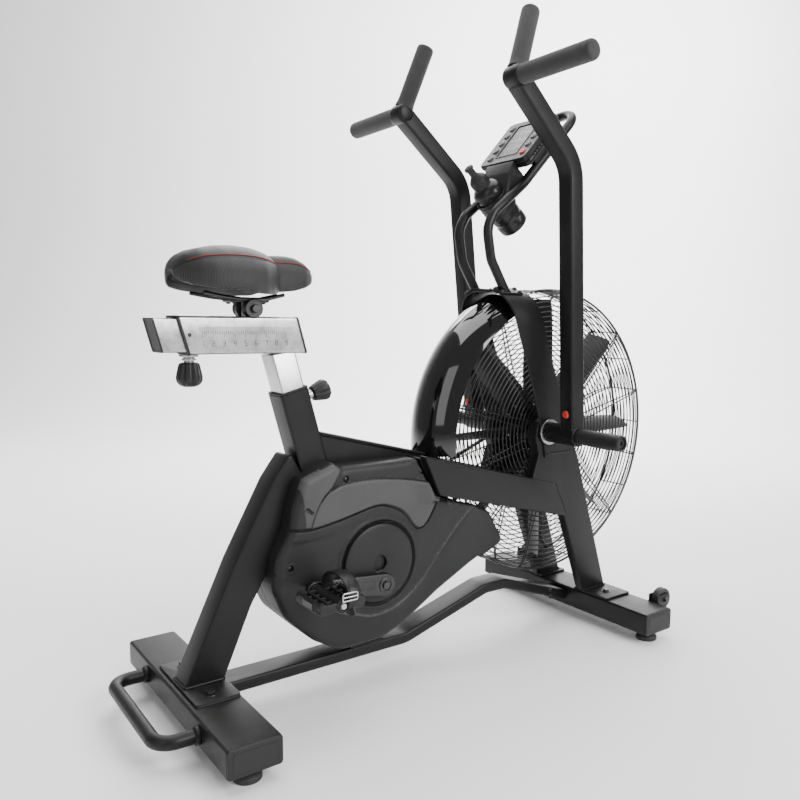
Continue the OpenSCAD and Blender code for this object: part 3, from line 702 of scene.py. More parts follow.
# the base tube with its hump, and the crank bearing shell that it carries
s = Shape()
run = fillet([(92, 0, 57), (502, 0, 57), (728, 0, 121.5), (786, 0, 121.5), (996, 0, 51)], [90, 60, 60], 12)
bar(s, run, 60, 24, 5)
for x, z in ((96, 57), (993, 51)):
    bead(s, [(x, -27, z - 11), (x, 27, z - 11), (x, 29, z + 9), (x, 27, z + 12), (x, -27, z + 12),
             (x, -29, z + 9)], 2, closed=True)
for side in (-1, 1):
    for x, z in ((938, 77), (940, 59)):
        bolt(s, (x, side * 30, z), (0, side, 0), 4.6, 3, m=1)
half_shell = [(12.2, 39.6), (22, 39.6), (24, 38), (24, 30), (23.4, 29)]
lathe(s, [(q, -h) for q, h in half_shell] + half_shell[::-1], CRANK, Y, 48, closed=True)
for y in (-22, 16):
    prism(s, rounded(rect(CRANK.x - 30, CRANK.x + 30, 68, CRANK.z), 3), y, 6, bevel=0.8)
prism(s, rounded(rect(CRANK.x - 40, CRANK.x + 40, -26, 26), 4), 69, 5, bevel=1, place=xy)
for y in (-27, 27):
    bead(s, [(CRANK.x - 40, y, 70), (CRANK.x + 40, y, 70)], 2)
s.piece("base_rail", [PAINT, BOLT], "frame", "base_tube", "black_paint")

# the rear leg on its plate
s = Shape()
strut = [(14, 78), (113, 295), (190, 440), (229, 493), (262, 430), (205, 310), (145, 209), (89, 78)]
prism(s, rounded(strut, [0, 90, 60, 8, 30, 120, 90, 0], 8), -29.6, 59.2, bevel=4.5, steps=4)
prism(s, rounded(rect(10, 92, -100, 100), 5), 75, 5, bevel=1, place=xy)
for side in (-1, 1):
    hexbolt(s, (47, side * 72, 80), (0, 0, 1), 8, 6.5, m=1)
bead(s, [(17, -29, 81.5), (88, -29, 81.5), (90, -27, 81.5), (90, 27, 81.5), (88, 29, 81.5), (17, 29, 81.5),
         (15, 27, 81.5), (15, -27, 81.5)], 2.4, closed=True)
for y in (-100, 100):
    bead(s, [(12, y, 76), (90, y, 76)], 1.8)
s.piece("rear_leg", [PAINT, BOLT], "frame", "seat_strut", "black_paint")

# the seat tube; seat_axis places a point (forward, left, up the tube) from its upper end
tilt = rad(15.5)
SEAT = ((238.6, 0, 608), (math.cos(tilt), 0, math.sin(tilt)), (0, 1, 0), (-math.sin(tilt), 0, math.cos(tilt)))
seat_axis = local(*SEAT)
s = Shape()
ring_prism(s, rounded(rect(-30, 30, -30, 30), 6, 5), rounded(rect(-25.5, 25.5, -25.5, 25.5), 4, 5), -296, -1,
           seat_axis)
lathe(s, [(9.5, 0), (13, 0), (13.4, 1), (13.4, 6), (12.6, 7), (9.5, 7)], seat_axis(29.6, 0, -22), SEAT[1], 6,
      m=0)
s.piece("seat_mast", PAINT, "frame", "seat_tube", "black_paint")
s = Shape()
ring_prism(s, rounded(rect(-30.4, 30.4, -30.4, 30.4), 6.4, 5), rounded(rect(-25.2, 25.2, -25.2, 25.2), 4, 5),
           -1, 3.5, seat_axis, lip=1.4)
s.piece("mast_sleeve", TRIM, "frame", slot="plastic_trim")

# the gusset from the seat tube to the side beams
s = Shape()
prism(s, [(262, 529), (546, 458), (546, 441), (300, 438)], -21.5, 43, bevel=1.5)
prism(s, rounded([(291, 527), (548, 461), (546, 456), (292, 521.2)], 1.2), -29.4, 58.8, bevel=1.5)
prism(s, rounded([(503, 460), (545, 450), (560, 401), (529, 406)], 3), -66.5, 133, bevel=2)
for side in (-1, 1):
    bead(s, [(292, side * 21.8, 520), (544, side * 21.8, 456)], 1.6)
    bead(s, [(292.5, side * 22, 520), (316, side * 22, 440)], 1.8)
s.piece("spine_web", PAINT, "frame", "spine_gusset", "black_paint")

# the two forks: side beam, front leg, gusset and foot plate, welded
fork_side = [(500, 467), (541, 379), (917, 281), (991, 80), (1071, 80), (960, 418), (948, 446), (900, 500),
             (852, 527), (822, 512), (815, 480), (826, 440), (808, 386)]
for side, word in SIDES:
    y0 = 67 if side > 0 else -92
    s = Shape()
    prism(s, rounded(fork_side, [3, 5, 10, 0, 0, 50, 40, 40, 26, 16, 16, 12, 6], 6), y0, 25, bevel=3.2,
          steps=4)
    ya, yb = (55, 165) if side > 0 else (-165, -55)
    prism(s, rounded(rect(996, 1082, ya, yb), 5), 75, 5, bevel=1, place=xy)
    hexbolt(s, (1036, side * 128, 80), (0, 0, 1), 8, 5, m=1)
    o = side * 92.2
    bead(s, [(808, o, 386), (826, o, 440), (815, o, 478)], 1.7)
    bead(s, [(812, o, 384), (885, o, 365), (925, o, 286)], 1.2)
    bead(s, [(992, side * 66.5, 81.5), (992, side * 92.5, 81.5), (1070, side * 92.5, 81.5),
             (1070, side * 66.5, 81.5)], 2.3, closed=True)
    s.piece("fan_fork_" + word, [PAINT, BOLT], "frame", "fork_" + word, "black_paint")


def lerp_table(table, z):
    """Reads a table of (place, value) between its rows."""
    if z <= table[0][0]:
        return table[0][1]
    for (z0, x0), (z1, x1) in zip(table, table[1:]):
        if z <= z1:
            t = (z - z0) / (z1 - z0)
            return x0 + (x1 - x0) * t
    return table[-1][1]


def smooth_table(table):
    """Rounds a table's corners by averaging over 60 mm."""
    out = []
    z = table[0][0]
    while z <= table[-1][0] + 0.1:
        out.append((z, sum(lerp_table(table, z + d) for d in (-40, -20, 0, 20, 40)) / 5))
        z += 10
    return out


# the arch strap over the fan
back_edge = smooth_table([(436, 846), (580, 805), (681, 769), (752, 741), (830, 720)])
front_edge = smooth_table([(436, 926), (580, 889), (719, 834), (830, 803)])
s = Shape()
path = [(-94.5, z) for z in range(432, 744, 12)]
path += [(-24.5 - 70 * math.cos(rad(a)), 744.5 + 70 * math.sin(rad(a))) for a in range(4, 90, 5)]
path += [(y, 814.5) for y in range(-20, 21, 8)]
path += [(-y, z) for y, z in path[:len(path) - 6][::-1]]
verts, faces = [], []
for i, (y, z) in enumerate(path):
    a, b = path[max(0, i - 1)], path[min(len(path) - 1, i + 1)]
    t = Vector((b[0] - a[0], b[1] - a[1])).normalized()
    n = Vector((-t.y, t.x))
    xr, xf = lerp_table(back_edge, z), lerp_table(front_edge, z)
    for x, o in ((xr + 1.2, 2.5), (xf - 1.2, 2.5), (xf, 1.3), (xf, -1.3), (xf - 1.2, -2.5), (xr + 1.2, -2.5),
                 (xr, -1.3), (xr, 1.3)):
        verts.append((x, y + n.x * o, z + n.y * o))
for i in range(len(path) - 1):
    for j in range(8):
        j2 = (j + 1) % 8
        faces.append((i * 8 + j, i * 8 + j2, i * 8 + 8 + j2, i * 8 + 8 + j))
faces += [tuple(range(7, -1, -1)), tuple((len(path) - 1) * 8 + j for j in range(8))]
s.add(verts, faces)
for side in (-1, 1):
    bead(s, [(848, side * 97.4, 440), (924, side * 97.4, 440)], 1.8)
s.piece("arch_band", PAINT, "frame", "arch_strap", "black_paint")

# the arms' shafts and the fan's axle, then the foot pegs
s = Shape()
for side in (-1, 1):
    o, a = PIVOT, (0, side, 0)
    lathe(s, [(0, 90), (29, 97), (30, 98), (30, 101.6), (29, 102.8), (24, 103), (23.4, 102), (15, 102),
              (14.6, 103.4), (10, 103.4), (10, 191), (0, 191)], o, a, 48)
lathe(s, [(0, -67), (7, -67), (8, -66), (8, 66), (7, 67), (0, 67)], FAN, (0, 1, 0), 32)
s.piece("fixed_pins", MACHINED, "frame", "fixed_shafts", "machined_steel")
for side, word in SIDES:
    s = Shape()
    o, a = PIVOT, (0, side, 0)
    prof = [(9, 192.4), (16.6, 192.4), (17.5, 193.4), (17.5, 200)]
    for k in range(19):
        y = 202 + k * 5
        prof += [(17.5, y), (17.1, y + 0.4), (17.1, y + 1.2), (17.5, y + 1.6)]
    prof += [(17.5, 309), (16.9, 311.4), (15.6, 312.8), (13, 313), (12.2, 312), (12, 306), (9.5, 305),
             (0, 305)]
    lathe(s, prof, o, a, 48)
    lathe(s, [(11, 304.9), (11, 308), (10, 308.8), (5.4, 308.8), (5, 306), (0, 306)], o, a, 24, m=1)
    s.piece("foot_peg_" + word, [PEG, BOLT], "frame", "foot_pegs", "peg_sleeve")

# ---------------------------------------------------------------- console mast, console and bottle
def digit(s, code, cx, cz, w, h, bar_w, place, y, depth=0.35):
    """A seven-bar figure; code holds the lit bars."""
    tall = h / 2.4
    bars = {"a": (0, h, w, bar_w), "d": (0, 0, w, bar_w), "g": (0, h / 2, w, bar_w),
            "f": (-w / 2, 0.75 * h, bar_w, tall), "b": (w / 2, 0.75 * h, bar_w, tall),
            "e": (-w / 2, 0.25 * h, bar_w, tall), "c": (w / 2, 0.25 * h, bar_w, tall)}
    for k in code:
        x, z, bw, bh = bars[k]
        prism(s, rect(cx + x - bw / 2, cx + x + bw / 2, cz + z - bh / 2, cz + z + bh / 2), y, depth,
              bevel=0.08, steps=1, place=place)


DIGITS = ["abcdef", "bc", "abged", "abgcd", "fgbc", "afgcd", "afgedc", "abc", "abcdefg", "abcdfg"]

# the tube loop that carries the console
s = Shape()
hoop = [(750, 811), (706, 880), (693, 948), (712, 983), (799, 1054), (938, 1202)]
d = Vector((138, 0, 147)).normalized()
right = fillet([(x, -50, z) for x, z in hoop], [50, 60, 40, 110], 10)
bend = [Vector((938, -50 * math.cos(rad(a)), 1202)) + d * 50 * math.sin(rad(a)) for a in range(6, 180, 6)]
left = [Vector((p.x, -p.y, p.z)) for p in right[::-1]]
tube(s, right + bend + left, 11, 24)
for side in (-1, 1):
    def shoe(p, q, h, side=side):
        return (p, side * 50 + 0.931 * q + side * 0.365 * h, 812.4 - side * 0.365 * q + 0.931 * h)
    prism(s, rounded(rect(724, 792, -17, 17), 5), -1.5, 4.5, bevel=1, place=shoe)
    for x in (731, 785):
        for y in (-10, 10):
            bolt(s, shoe(x, y, 3), (0, side * 0.365, 0.931), 4.2, 2.8, m=1)
    bead(s, [shoe(748 + 13.5 * p, 12 * q, 4) for p, q in circle(1, 24)], 1.8, closed=True)
s.piece("console_hoop", [PAINT, BOLT], "frame", "console_tubes", "black_paint")

def turned_frame(origin, angle):
    """An origin and three directions, turned by an angle in degrees round Y."""
    c, q = math.cos(rad(angle)), math.sin(rad(angle))
    return origin, (c, 0, -q), (0, 1, 0), (q, 0, c)


# the console; face places a point (across, up the face, depth)
FACE = turned_frame((772, 0, 1104), 41.5)
face = local(FACE[0], FACE[2], FACE[3], FACE[1])
s = Shape()
ring_prism(s, rounded(rect(-78, 78, 0, 151), 13, 6), rounded(rect(-36, 36, 22, 134), 5, 6), 0.4, 14, face,
           lip=2.2)
prism(s, rounded(rect(-76.5, 76.5, 1.5, 149.5), 12, 6), 14, 13.5, bevel=4, place=face)
ring_prism(s, rounded(rect(-38, 38, 20, 136), 6, 6), rounded(rect(-33.5, 33.5, 25.5, 130.5), 3, 6), -0.6, 6,
           face, m=1, lip=0.7)
for side in (-1, 1):
    for k in range(11):
        z = 26 + k * 10
        prism(s, rect(z, z + 4.5, 9, 22), side * 77 if side > 0 else -78.2, 1.2, bevel=0.4, steps=1,
              place=lambda p, q, h: face(h, p, q))
prism(s, rounded(rect(-60, 60, 34, 118), 8), 27, 19.5, bevel=3, place=face)
s.piece("console_case", [CONSOLE, TRIM], "frame", "console_body", "console_plastic")
s = Shape()
prism(s, rounded(rect(-35, 35, 24, 132), 3), 1.6, 2, bevel=0.3, place=face, steps=1)
s.piece("console_window", LCD, "frame", slot="console_plastic")
s = Shape()

for row in range(4):
    for col in range(4):
        digit(s, DIGITS[0 if row % 2 else 8], -22 + col * 14 + (3 if col > 1 else 0), 34 + row * 25, 6.5, 13,
              1.3, face, 1.35)
s.piece("console_figures", SEGMENT, "frame", slot="console_plastic")
for node in [n for n in frame["nodes"] if n.startswith("key_")]:
    lo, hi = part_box(node)
    middle = (Vector(lo) + Vector(hi)) * 500 + Vector((MID, 0, 0)) - Vector(FACE[0])
    a, z = middle.dot(Vector(FACE[2])), middle.dot(Vector(FACE[3]))
    s = Shape()
    red = node == "key_right_1"
    r = min(8.4, (hi[1] - lo[1]) * 500 - 0.1)
    lathe(s, [(0, 4.5), (r, 4.5), (r, -1.4), (r - 0.5, -2.4), (r - 1.5, -3), (r * 0.5, -2.6), (0, -2.4)],
          face(a, z, 0), FACE[1], 32)
    ridge = rounded(rect(-r * 0.45, r * 0.45, -0.7, 0.7), 0.5)
    prism(s, [(a + p, z + q2) for p, q2 in ridge], -3.0, 0.5, bevel=0.2, steps=1, place=face)
    s.piece(node + "_cap", RED if red else GREY, BODY_OF[node], node, "red_key" if red else "grey_key")

# the bottle's cradle and the bottle; the last direction of CUP runs up the bottle
CUP = turned_frame((821, 0, 966), -51.4)
s = Shape()
prof = [(35.7, 53), (36.4, 52), (38.4, 52), (39, 53)]
for z in (60, 70, 80, 90):
    prof += [(38.4, z - 1.6), (39.3, z - 0.8), (39.3, z + 0.8), (38.4, z + 1.6)]
prof += [(39, 97), (38.4, 98), (36.4, 98), (35.7, 97)]
lathe(s, prof, CUP[0], CUP[3], 56, closed=True)
for x, z in ((752, 1016), (805, 1059)):
    tube(s, [(x, -38.5, z), (x, 38.5, z)], 9, 20)
    for side in (-1, 1):
        bolt(s, (x, side * 38, z), (0, side, 0), 5, 2, m=1)
wedge = rounded([(750, 1024), (757, 1020), (808, 1056), (815, 1064), (792, 1084), (771, 1102.5), (760, 1075),
                 (757, 1062)], 3)
prism(s, wedge, -46, 92, bevel=4)
for k in range(5):
    q = 762 + k * 7
    for side in (-1, 1):
        prism(s, rounded([(q, 1046 + k * 5), (q + 2.6, 1048 + k * 5), (q + 8, 1082 - k), (q + 5.4, 1083 - k)],
                         0.8), 45.6 if side > 0 else -46.8, 1.2,
              bevel=0.4, steps=1)
s.piece("bottle_cradle", [TRIM, BOLT], "frame", "bottle_holder", "plastic_trim")
s = Shape()
prof = [(0, 1.5), (26, 1.5), (28, 0), (31, 0.4), (34, 3), (35, 7), (35, 24), (33.8, 26), (33.8, 30), (35, 32),
        (35, 44), (34.4, 50), (34.4, 100), (35, 106), (34.7, 112), (33, 117), (29.5, 122), (24, 126.4),
        (20.6, 128)]
lathe(s, prof, CUP[0], CUP[3], 64)
prof = [(20.4, 127.6), (21.6, 128.4), (21.6, 130), (20.6, 130.8), (20.6, 148), (19.6, 150.4), (15, 154.6),
        (11.4, 158.6), (9.6, 160.4), (8.2, 163), (8.2, 174), (8.8, 176.6), (10.8, 178.2), (11, 180.4),
        (10.2, 183), (8, 184), (3, 184), (2.4, 182), (0, 182)]
lathe(s, prof, CUP[0], CUP[3], 48, m=1)
for k in range(28):
    a = k * math.pi / 14
    u, v = Vector(CUP[1]), Vector(CUP[2])
    d, n = u * math.cos(a) + v * math.sin(a), v * math.cos(a) - u * math.sin(a)
    prism(s, rect(-0.8, 0.8, 132, 146.5), 20.4, 0.9, bevel=0.3, steps=1, m=1,
          place=lambda p, q, h, d=d, n=n: tuple(Vector(CUP[0]) + n * p + Vector(CUP[3]) * q + d * h))
s.piece("drink_flask", [BOTTLE, TRIM], "drink", "bottle", "bottle_plastic")


# ---------------------------------------------------------------- covers
def near(p, line, closed=False):
    """Distance from a point to a polyline."""
    best = 1e9
    k = len(line)
    for i in range(k if closed else k - 1):
        ax, az = line[i]
        bx, bz = line[(i + 1) % k]
        dx, dz = bx - ax, bz - az
        t = max(0, min(1, ((p[0] - ax) * dx + (p[1] - az) * dz) / (dx * dx + dz * dz + 1e-9)))
        best = min(best, (p[0] - ax - dx * t) ** 2 + (p[1] - az - dz * t) ** 2)
    return math.sqrt(best)


def inside(p, poly):
    """Tells whether a point is in a polygon."""
    hit = False
    for i in range(len(poly)):
        (x0, z0), (x1, z1) = poly[i - 1], poly[i]
        if (z0 > p[1]) != (z1 > p[1]) and p[0] < (x1 - x0) * (p[1] - z0) / (z1 - z0) + x0:
            hit = not hit
    return hit


def signed(p, poly):
    """Distance to a polygon's edge, positive inside it."""
    d = near(p, poly, True)
    return d if inside(p, poly) else -d


def ease(d, w):
    """Rises smoothly from 0 to 1 as d goes from -w to w."""
    t = max(0, min(1, 0.5 + d / w / 2))
    return t * t * (3 - 2 * t)


def spline(pts, n=6, closed=False):
    """Catmull-Rom curve through the points."""
    out = []
    k = len(pts)
    for i in range(k if closed else k - 1):
        p0 = pts[i - 1] if (i or closed) else pts[i]
        p1, p2 = pts[i], pts[(i + 1) % k]
        p3 = pts[(i + 2) % k] if (i + 2 < k or closed) else p2
        for j in range(n):
            t = j / n
            out.append(tuple(0.5 * (2 * b + (c - a) * t + (2 * a - 5 * b + 4 * c - e) * t * t
                                    + (3 * b - a - 3 * c + e) * t ** 3)
                             for a, b, c, e in zip(p0, p1, p2, p3)))
    if not closed:
        out.append(pts[-1])
    return out


def resample(line, step, closed=False):
    """Points at equal steps along a line."""
    pts = [Vector(p) for p in line] + ([Vector(line[0])] if closed else [])
    out = [pts[0]]
    left = step
    for a, b in zip(pts, pts[1:]):
        seg = (b - a).length
        d = left
        while d <= seg:
            out.append(a.lerp(b, d / seg))
            d += step
        left = d - seg
    return [tuple(p) for p in out]


# The cover's outline and the lines on it, as (x, z).
OUTLINE = rounded([(232, 445), (300, 471), (318, 460), (494, 460), (536, 374), (652, 342), (700, 320),
                   (745, 243), (652, 203), (560, 158), (470, 105), (420, 86), (320, 84), (262, 118),
                   (200, 178), (173, 240), (180, 300), (207, 350), (214, 395)],
                  [8, 6, 6, 6, 10, 60, 40, 10, 60, 90, 80, 60, 60, 60, 60, 60, 60, 40, 40], 8)
GROOVE_LINE = spline([(206, 351), (248, 348), (296, 355), (340, 364), (379, 373), (406, 375), (436, 366),
                      (461, 351), (482, 324), (497, 313), (515, 319), (533, 344), (552, 378)], 6)
PANEL = spline([(248, 350), (260, 382), (278, 408), (300, 421), (328, 427), (373, 429), (419, 426),
                (474, 418), (525, 407)], 5)[:-1]
PANEL += [(548, 399)] + GROOVE_LINE[:5:-1]
BLOCK = [(224, 443), (297, 468), (313, 458), (292, 424), (276, 410), (262, 392), (253, 374), (246, 352),
         (236, 352), (232, 400)]
LEDGE = spline([(196, 329), (222, 327), (281, 331), (340, 345), (380, 351), (409, 353), (447, 343),
                (474, 322), (492, 300)], 5)
RIDGE = spline([(262, 214), (290, 184), (318, 168), (350, 158), (385, 148), (427, 152), (466, 168),
                (505, 199), (545, 244), (583, 284), (610, 311), (640, 336)], 5)
UPPER = [(180, 300), (196, 329)] + LEDGE + [(560, 300), (640, 400), (400, 520), (200, 480)]
DISC = (400, 256)
HOLES = [(326, 436), (507, 433), (205, 279)]
SLOT, SLOT_COS, SLOT_SIN = (243, 384), 0.82, 0.57      # a short slot through the panel, and its slant
FALL = RIDGE + [(700, 420), (800, 200), (500, 40), (300, 40), (100, 100), (100, 300), (240, 240)]


def in_cage(p):
    """Tells whether a point of the cover lies beside the fan's cage."""
    return math.dist(p, (FAN.x, FAN.z)) < 349


def cover_height(p):
    """How far out the cover's skin stands at a point (x, z)."""
    h = 73.2 + 2.6 * ease(signed(p, UPPER), 5)
    fall = signed(p, FALL)
    if fall > -4:
        h += 2.2 * math.exp(-(fall / 3.4) ** 2) - 11.0 * (1 - math.exp(-max(0, fall) / 26))
    recess = ease(signed(p, PANEL), 3)
    block = ease(signed(p, BLOCK), 3)
    if p[1] > 396 and p[0] > 240:
        h -= 5.5 * ease(p[1] - 398, 10) * (1 - max(recess, block))
    h += (77.4 - h) * recess
    h += (76.8 - h) * block
    g = near(p, GROOVE_LINE)
    if g < 6:
        h -= 5.0 * math.exp(-(g / 2.4) ** 4)
    r = math.dist(p, DISC)
    if r < 96:
        h += (75.2 - h) * ease(95 - r, 3.5)
        h -= 4.6 * ease(88 - r, 1.6)
    for c in HOLES:
        q = math.dist(p, c)
        if q < 12:
            h += 1.0 * ease(9.5 - q, 1.5) - 9 * ease(5.5 - q, 1.2)
    dx, dz = p[0] - SLOT[0], p[1] - SLOT[1]
    a, c = dx * SLOT_COS - dz * SLOT_SIN, dx * SLOT_SIN + dz * SLOT_COS
    h -= 7 * ease(3.2 - math.hypot(max(0, abs(a) - 6), c), 1.2)
    if p[1] > 366:
        h += 9.5 * ease(p[0] - 508, 24)
    d = near(p, OUTLINE, True)
    roll = 6 if in_cage(p) else 15
    if p[0] > 478 and p[1] > 366:
        roll = 4.5
    if d < roll:
        h -= roll - math.sqrt(max(0, roll ** 2 - (roll - d) ** 2))
    return h


def cover_points(rim):
    """The points of a cover's skin in (x, z): close together where the skin bends, then an even grid."""
    pts = list(rim)

    def put(line, gap=1.2):
        pts.extend(p for p in line if inside(p, OUTLINE) and near(p, OUTLINE, True) > gap)

    for dist in (1.5, 3.5, 6.5, 10.5, 15):
        put(resample(inset(OUTLINE, dist), 6, True))
    for off in (-4.4, -2.9, -1.9, -1.0, 0, 1.0, 1.9, 2.9, 4.4):
        line = resample(GROOVE_LINE, 3.2)
        moved = []
        for i, p in enumerate(line):
            a, c = Vector(line[max(0, i - 1)]), Vector(line[min(len(line) - 1, i + 1)])
            t = (c - a).normalized()
            moved.append((p[0] - t.y * off, p[1] + t.x * off))
        put(moved)
    for off in (-3, -1.2, 0.4, 2.4):
        for area_line in (PANEL, BLOCK):
            put(resample(inset(area_line, off), 4, True))
    for off in (-6, -3, 0, 3, 6):
        for base in (LEDGE, RIDGE):
            put([(x, z + off) for x, z in resample(base, 5)])
    rings = [(DISC, r, 144) for r in (86.4, 87.4, 88.2, 89.2, 91, 93.5, 96, 98, 84)]
    rings += [(c, r, 16) for c in HOLES for r in (0.5, 4.2, 5.2, 6.2, 8.4, 10, 11.4)]
    for (x, z), r, count in rings:
        put([(x + p, z + q) for p, q in circle(r, count)])
    for i in range(-10, 11, 2):
        for j in (-4, -2.6, -1.2, 0, 1.2, 2.6, 4):
            put([(SLOT[0] + i * SLOT_COS + j * SLOT_SIN, SLOT[1] - i * SLOT_SIN + j * SLOT_COS)])
    step = 7.0
    for i in range(90):
        put([(172 + i * step + (step / 2 if j % 2 else 0), 86 + j * step * 0.87) for j in range(62)], gap=16)
    return pts


def cover_look(c):
    """Which of a cover's materials a face with its middle at c has: 0 skin, 1 paler plastic, painted light on
    the panel and block and a painted highlight line along the ridge, 2 near-black plastic, painted shade in
    the groove and the disc's ring gap.
    """
    # the panel and block are painted paler as painted light, and a thin line along the ridge as a painted
    # highlight
    if inside(c, PANEL) or inside(c, BLOCK) or near(c, RIDGE) < 1.9:
        return 1
    # the groove and the ring gap round the disc are painted near-black as painted shade
    return 2 if near(c, GROOVE_LINE) < 2.1 or 80 < math.dist(c, DISC) < 86.9 else 0


def build_cover(side, word):
    """One drive cover: the skin, the wall round it, and the screws in its holes."""
    rim = resample(OUTLINE, 5, True)
    k = len(rim)
    edges = [(i, (i + 1) % k) for i in range(k)]
    points = [Vector(p) for p in cover_points(rim)]
    got, _, tris, _, _, _ = delaunay_2d_cdt(points, edges, [tuple(range(k))], 1, 0.35)
    s = Shape()
    s.v = [(p.x, side * cover_height(tuple(p)), p.y) for p in got]
    s.f = [tuple(t if side < 0 else t[::-1]) for t in tris]
    s.m = [cover_look((sum(got[i].x for i in t) / 3, sum(got[i].y for i in t) / 3)) for t in s.f]
    v, f = [], []
    for p in rim:
        h = cover_height(p)
        end = 60.5 if in_cage(p) else 0.6
        for y in (h, h - (h - end) * 0.33, h - (h - end) * 0.66, end + 1.2, end):
            v.append((p[0], side * y, p[1]))
    for i in range(k):
        for j in range(4):
            i2 = (i + 1) % k
            quad = (i * 5 + j, i2 * 5 + j, i2 * 5 + j + 1, i * 5 + j + 1)
            f.append(quad if side > 0 else quad[::-1])
    s.add(v, f)
    for c in HOLES:
        lathe(s, [(0, 66), (4, 66), (4, 68.4), (3.2, 69.2), (1.4, 69.4), (1.2, 68), (0, 68)], (c[0], 0, c[1]),
              (0, side, 0), 16, m=3)
    s.piece("cover_shell_" + word, [COVER, COVER_PAINTED_LIGHT, DARK_AND_SHADE, BOLT], "frame", "cover_" + word, "cover_plastic",
            smooth=50)


for side, word in SIDES:
    build_cover(side, word)

# the cover discs, and the rings round the cranks' axle
s = Shape()
for side in (-1, 1):
    o = (DISC[0], 0, DISC[1])
    prof = [(16, 72), (16, 77.6), (17.5, 78.4), (40, 78.8), (70, 78.2), (78.4, 77.4), (80, 76.4),
            (80.4, 74.6), (80.4, 71)]
    lathe(s, prof, o, (0, side, 0), 96)
    # a near-black ring at the floor of the gap round the disc, as painted shade
    lathe(s, [(81, 70.6), (88.5, 70.6)], o, (0, side, 0), 96, m=1)
    hub = [(14.5, 72), (14.5, 80.4), (16, 81), (24, 81), (26, 80), (26.6, 78)]
    lathe(s, hub, CRANK, (0, side, 0), 48)
s.piece("cover_plates", [COVER, DARK_AND_SHADE], "frame", "cover_discs", "cover_plastic")

# ---------------------------------------------------------------- cranks and pedals
turn = rad(8)
BIG_END, SMALL_END = 23, 15


def crank_arm(side, word, end):
    """A crank, pressed on the axle, with its far end at the pedal's pin."""
    u = (end - CRANK).normalized()
    place = local(CRANK, u, (-u.z, 0, u.x), (0, side, 0))
    s = Shape()
    a0 = math.degrees(math.asin((BIG_END - SMALL_END) / CRANK_LENGTH))
    out = arc(0, 0, BIG_END, 90 - a0, 270 + a0, 18) + arc(CRANK_LENGTH, 0, SMALL_END, -90 + a0, 90 - a0, 14)
    prism(s, out, 84, 14, bevel=3.4, place=place, steps=5)
    pocket = arc(34, 0, 9.5, 96, 264, 8) + arc(128, 0, 6.4, -84, 84, 8)
    prism(s, pocket, 97.4, 1.1, bevel=0.9, place=place, steps=2)
    ring = [(15.5, 97.6), (15.5, 99.4), (14, 100.2), (11.5, 100.2), (11, 98.6), (8.6, 98.6)]
    lathe(s, ring, CRANK, (0, side, 0), 36)
    lathe(s, [(8.4, 97), (8.4, 101.6), (7.6, 102.4), (0, 102.6)], CRANK, (0, side, 0), 6, m=1)
    lathe(s, [(9.6, 97.6), (9.6, 98.8), (8.6, 99.4), (7.2, 99.4)], end, (0, side, 0), 32)
    s.piece("crank_arm_" + word, [CLAMP, BOLT], "cranks", "crank_" + word, "clamp_steel")


def pedal(side, word, c):
    """A caged pedal with toothed edges and reflectors, its middle at c."""
    s = Shape()
    half = [(8, 48), (13, 47), (13.4, 44), (11, 38)]
    lathe(s, [(r, -h) for r, h in half] + [(10, 0)] + half[::-1], c, Y, 32)
    lathe(s, [(8.5, -52), (9, -50), (8.5, -47.5)], c, Y, 24, m=1)
    top = local(c, (1, 0, 0), (0, 0, 1), Y)
    end_plate = [(-45, -5), (-38, -11), (-14, -8), (14, -8), (38, -11), (45, -5), (47, 5), (40, 11), (30, 7),
                 (-30, 7), (-40, 11), (-47, 5)]
    for y in (-46, 38):
        prism(s, rounded(end_plate, 2.5, 3), y, 8, bevel=1.6, place=top)
    for x in (-46, 38.5):
        prism(s, rounded(rect(x, x + 7.5, -9, 9), 2), -44, 88, bevel=1, place=top)
        for k in range(9):
            for d in (1, -1):
                tooth = [(x + 0.8, d * 8.6), (x + 6.7, d * 8.6), (x + 3.75, d * 12.8)]
                prism(s, tooth, -42 + k * 9.4, 4, bevel=0.5, place=top, steps=1)
    for x in (-27, 20):
        prism(s, rounded(rect(x, x + 6, -7, 7), 2), -44, 88, bevel=1, place=top)
    for y in (-22, 0, 22):
        prism(s, rounded(rect(-42, 42, -4.5, 4.5), 2), y - 2, 4, bevel=0.9, place=top)
    for d in (-1, 1):
        prism(s, rounded(rect(-18, 18, -5, 5), 2), 0, 1.4, bevel=0.5, m=2, steps=1,
              place=local(c + Vector((d * 46.6, 0, 0)), Y, (0, 0, 1), (d, 0, 0)))
    s.piece("pedal_cage_" + word, [PEDAL, MACHINED, GREY], f"pedal_{word[0]}", "pedal_" + word,
            "pedal_plastic")


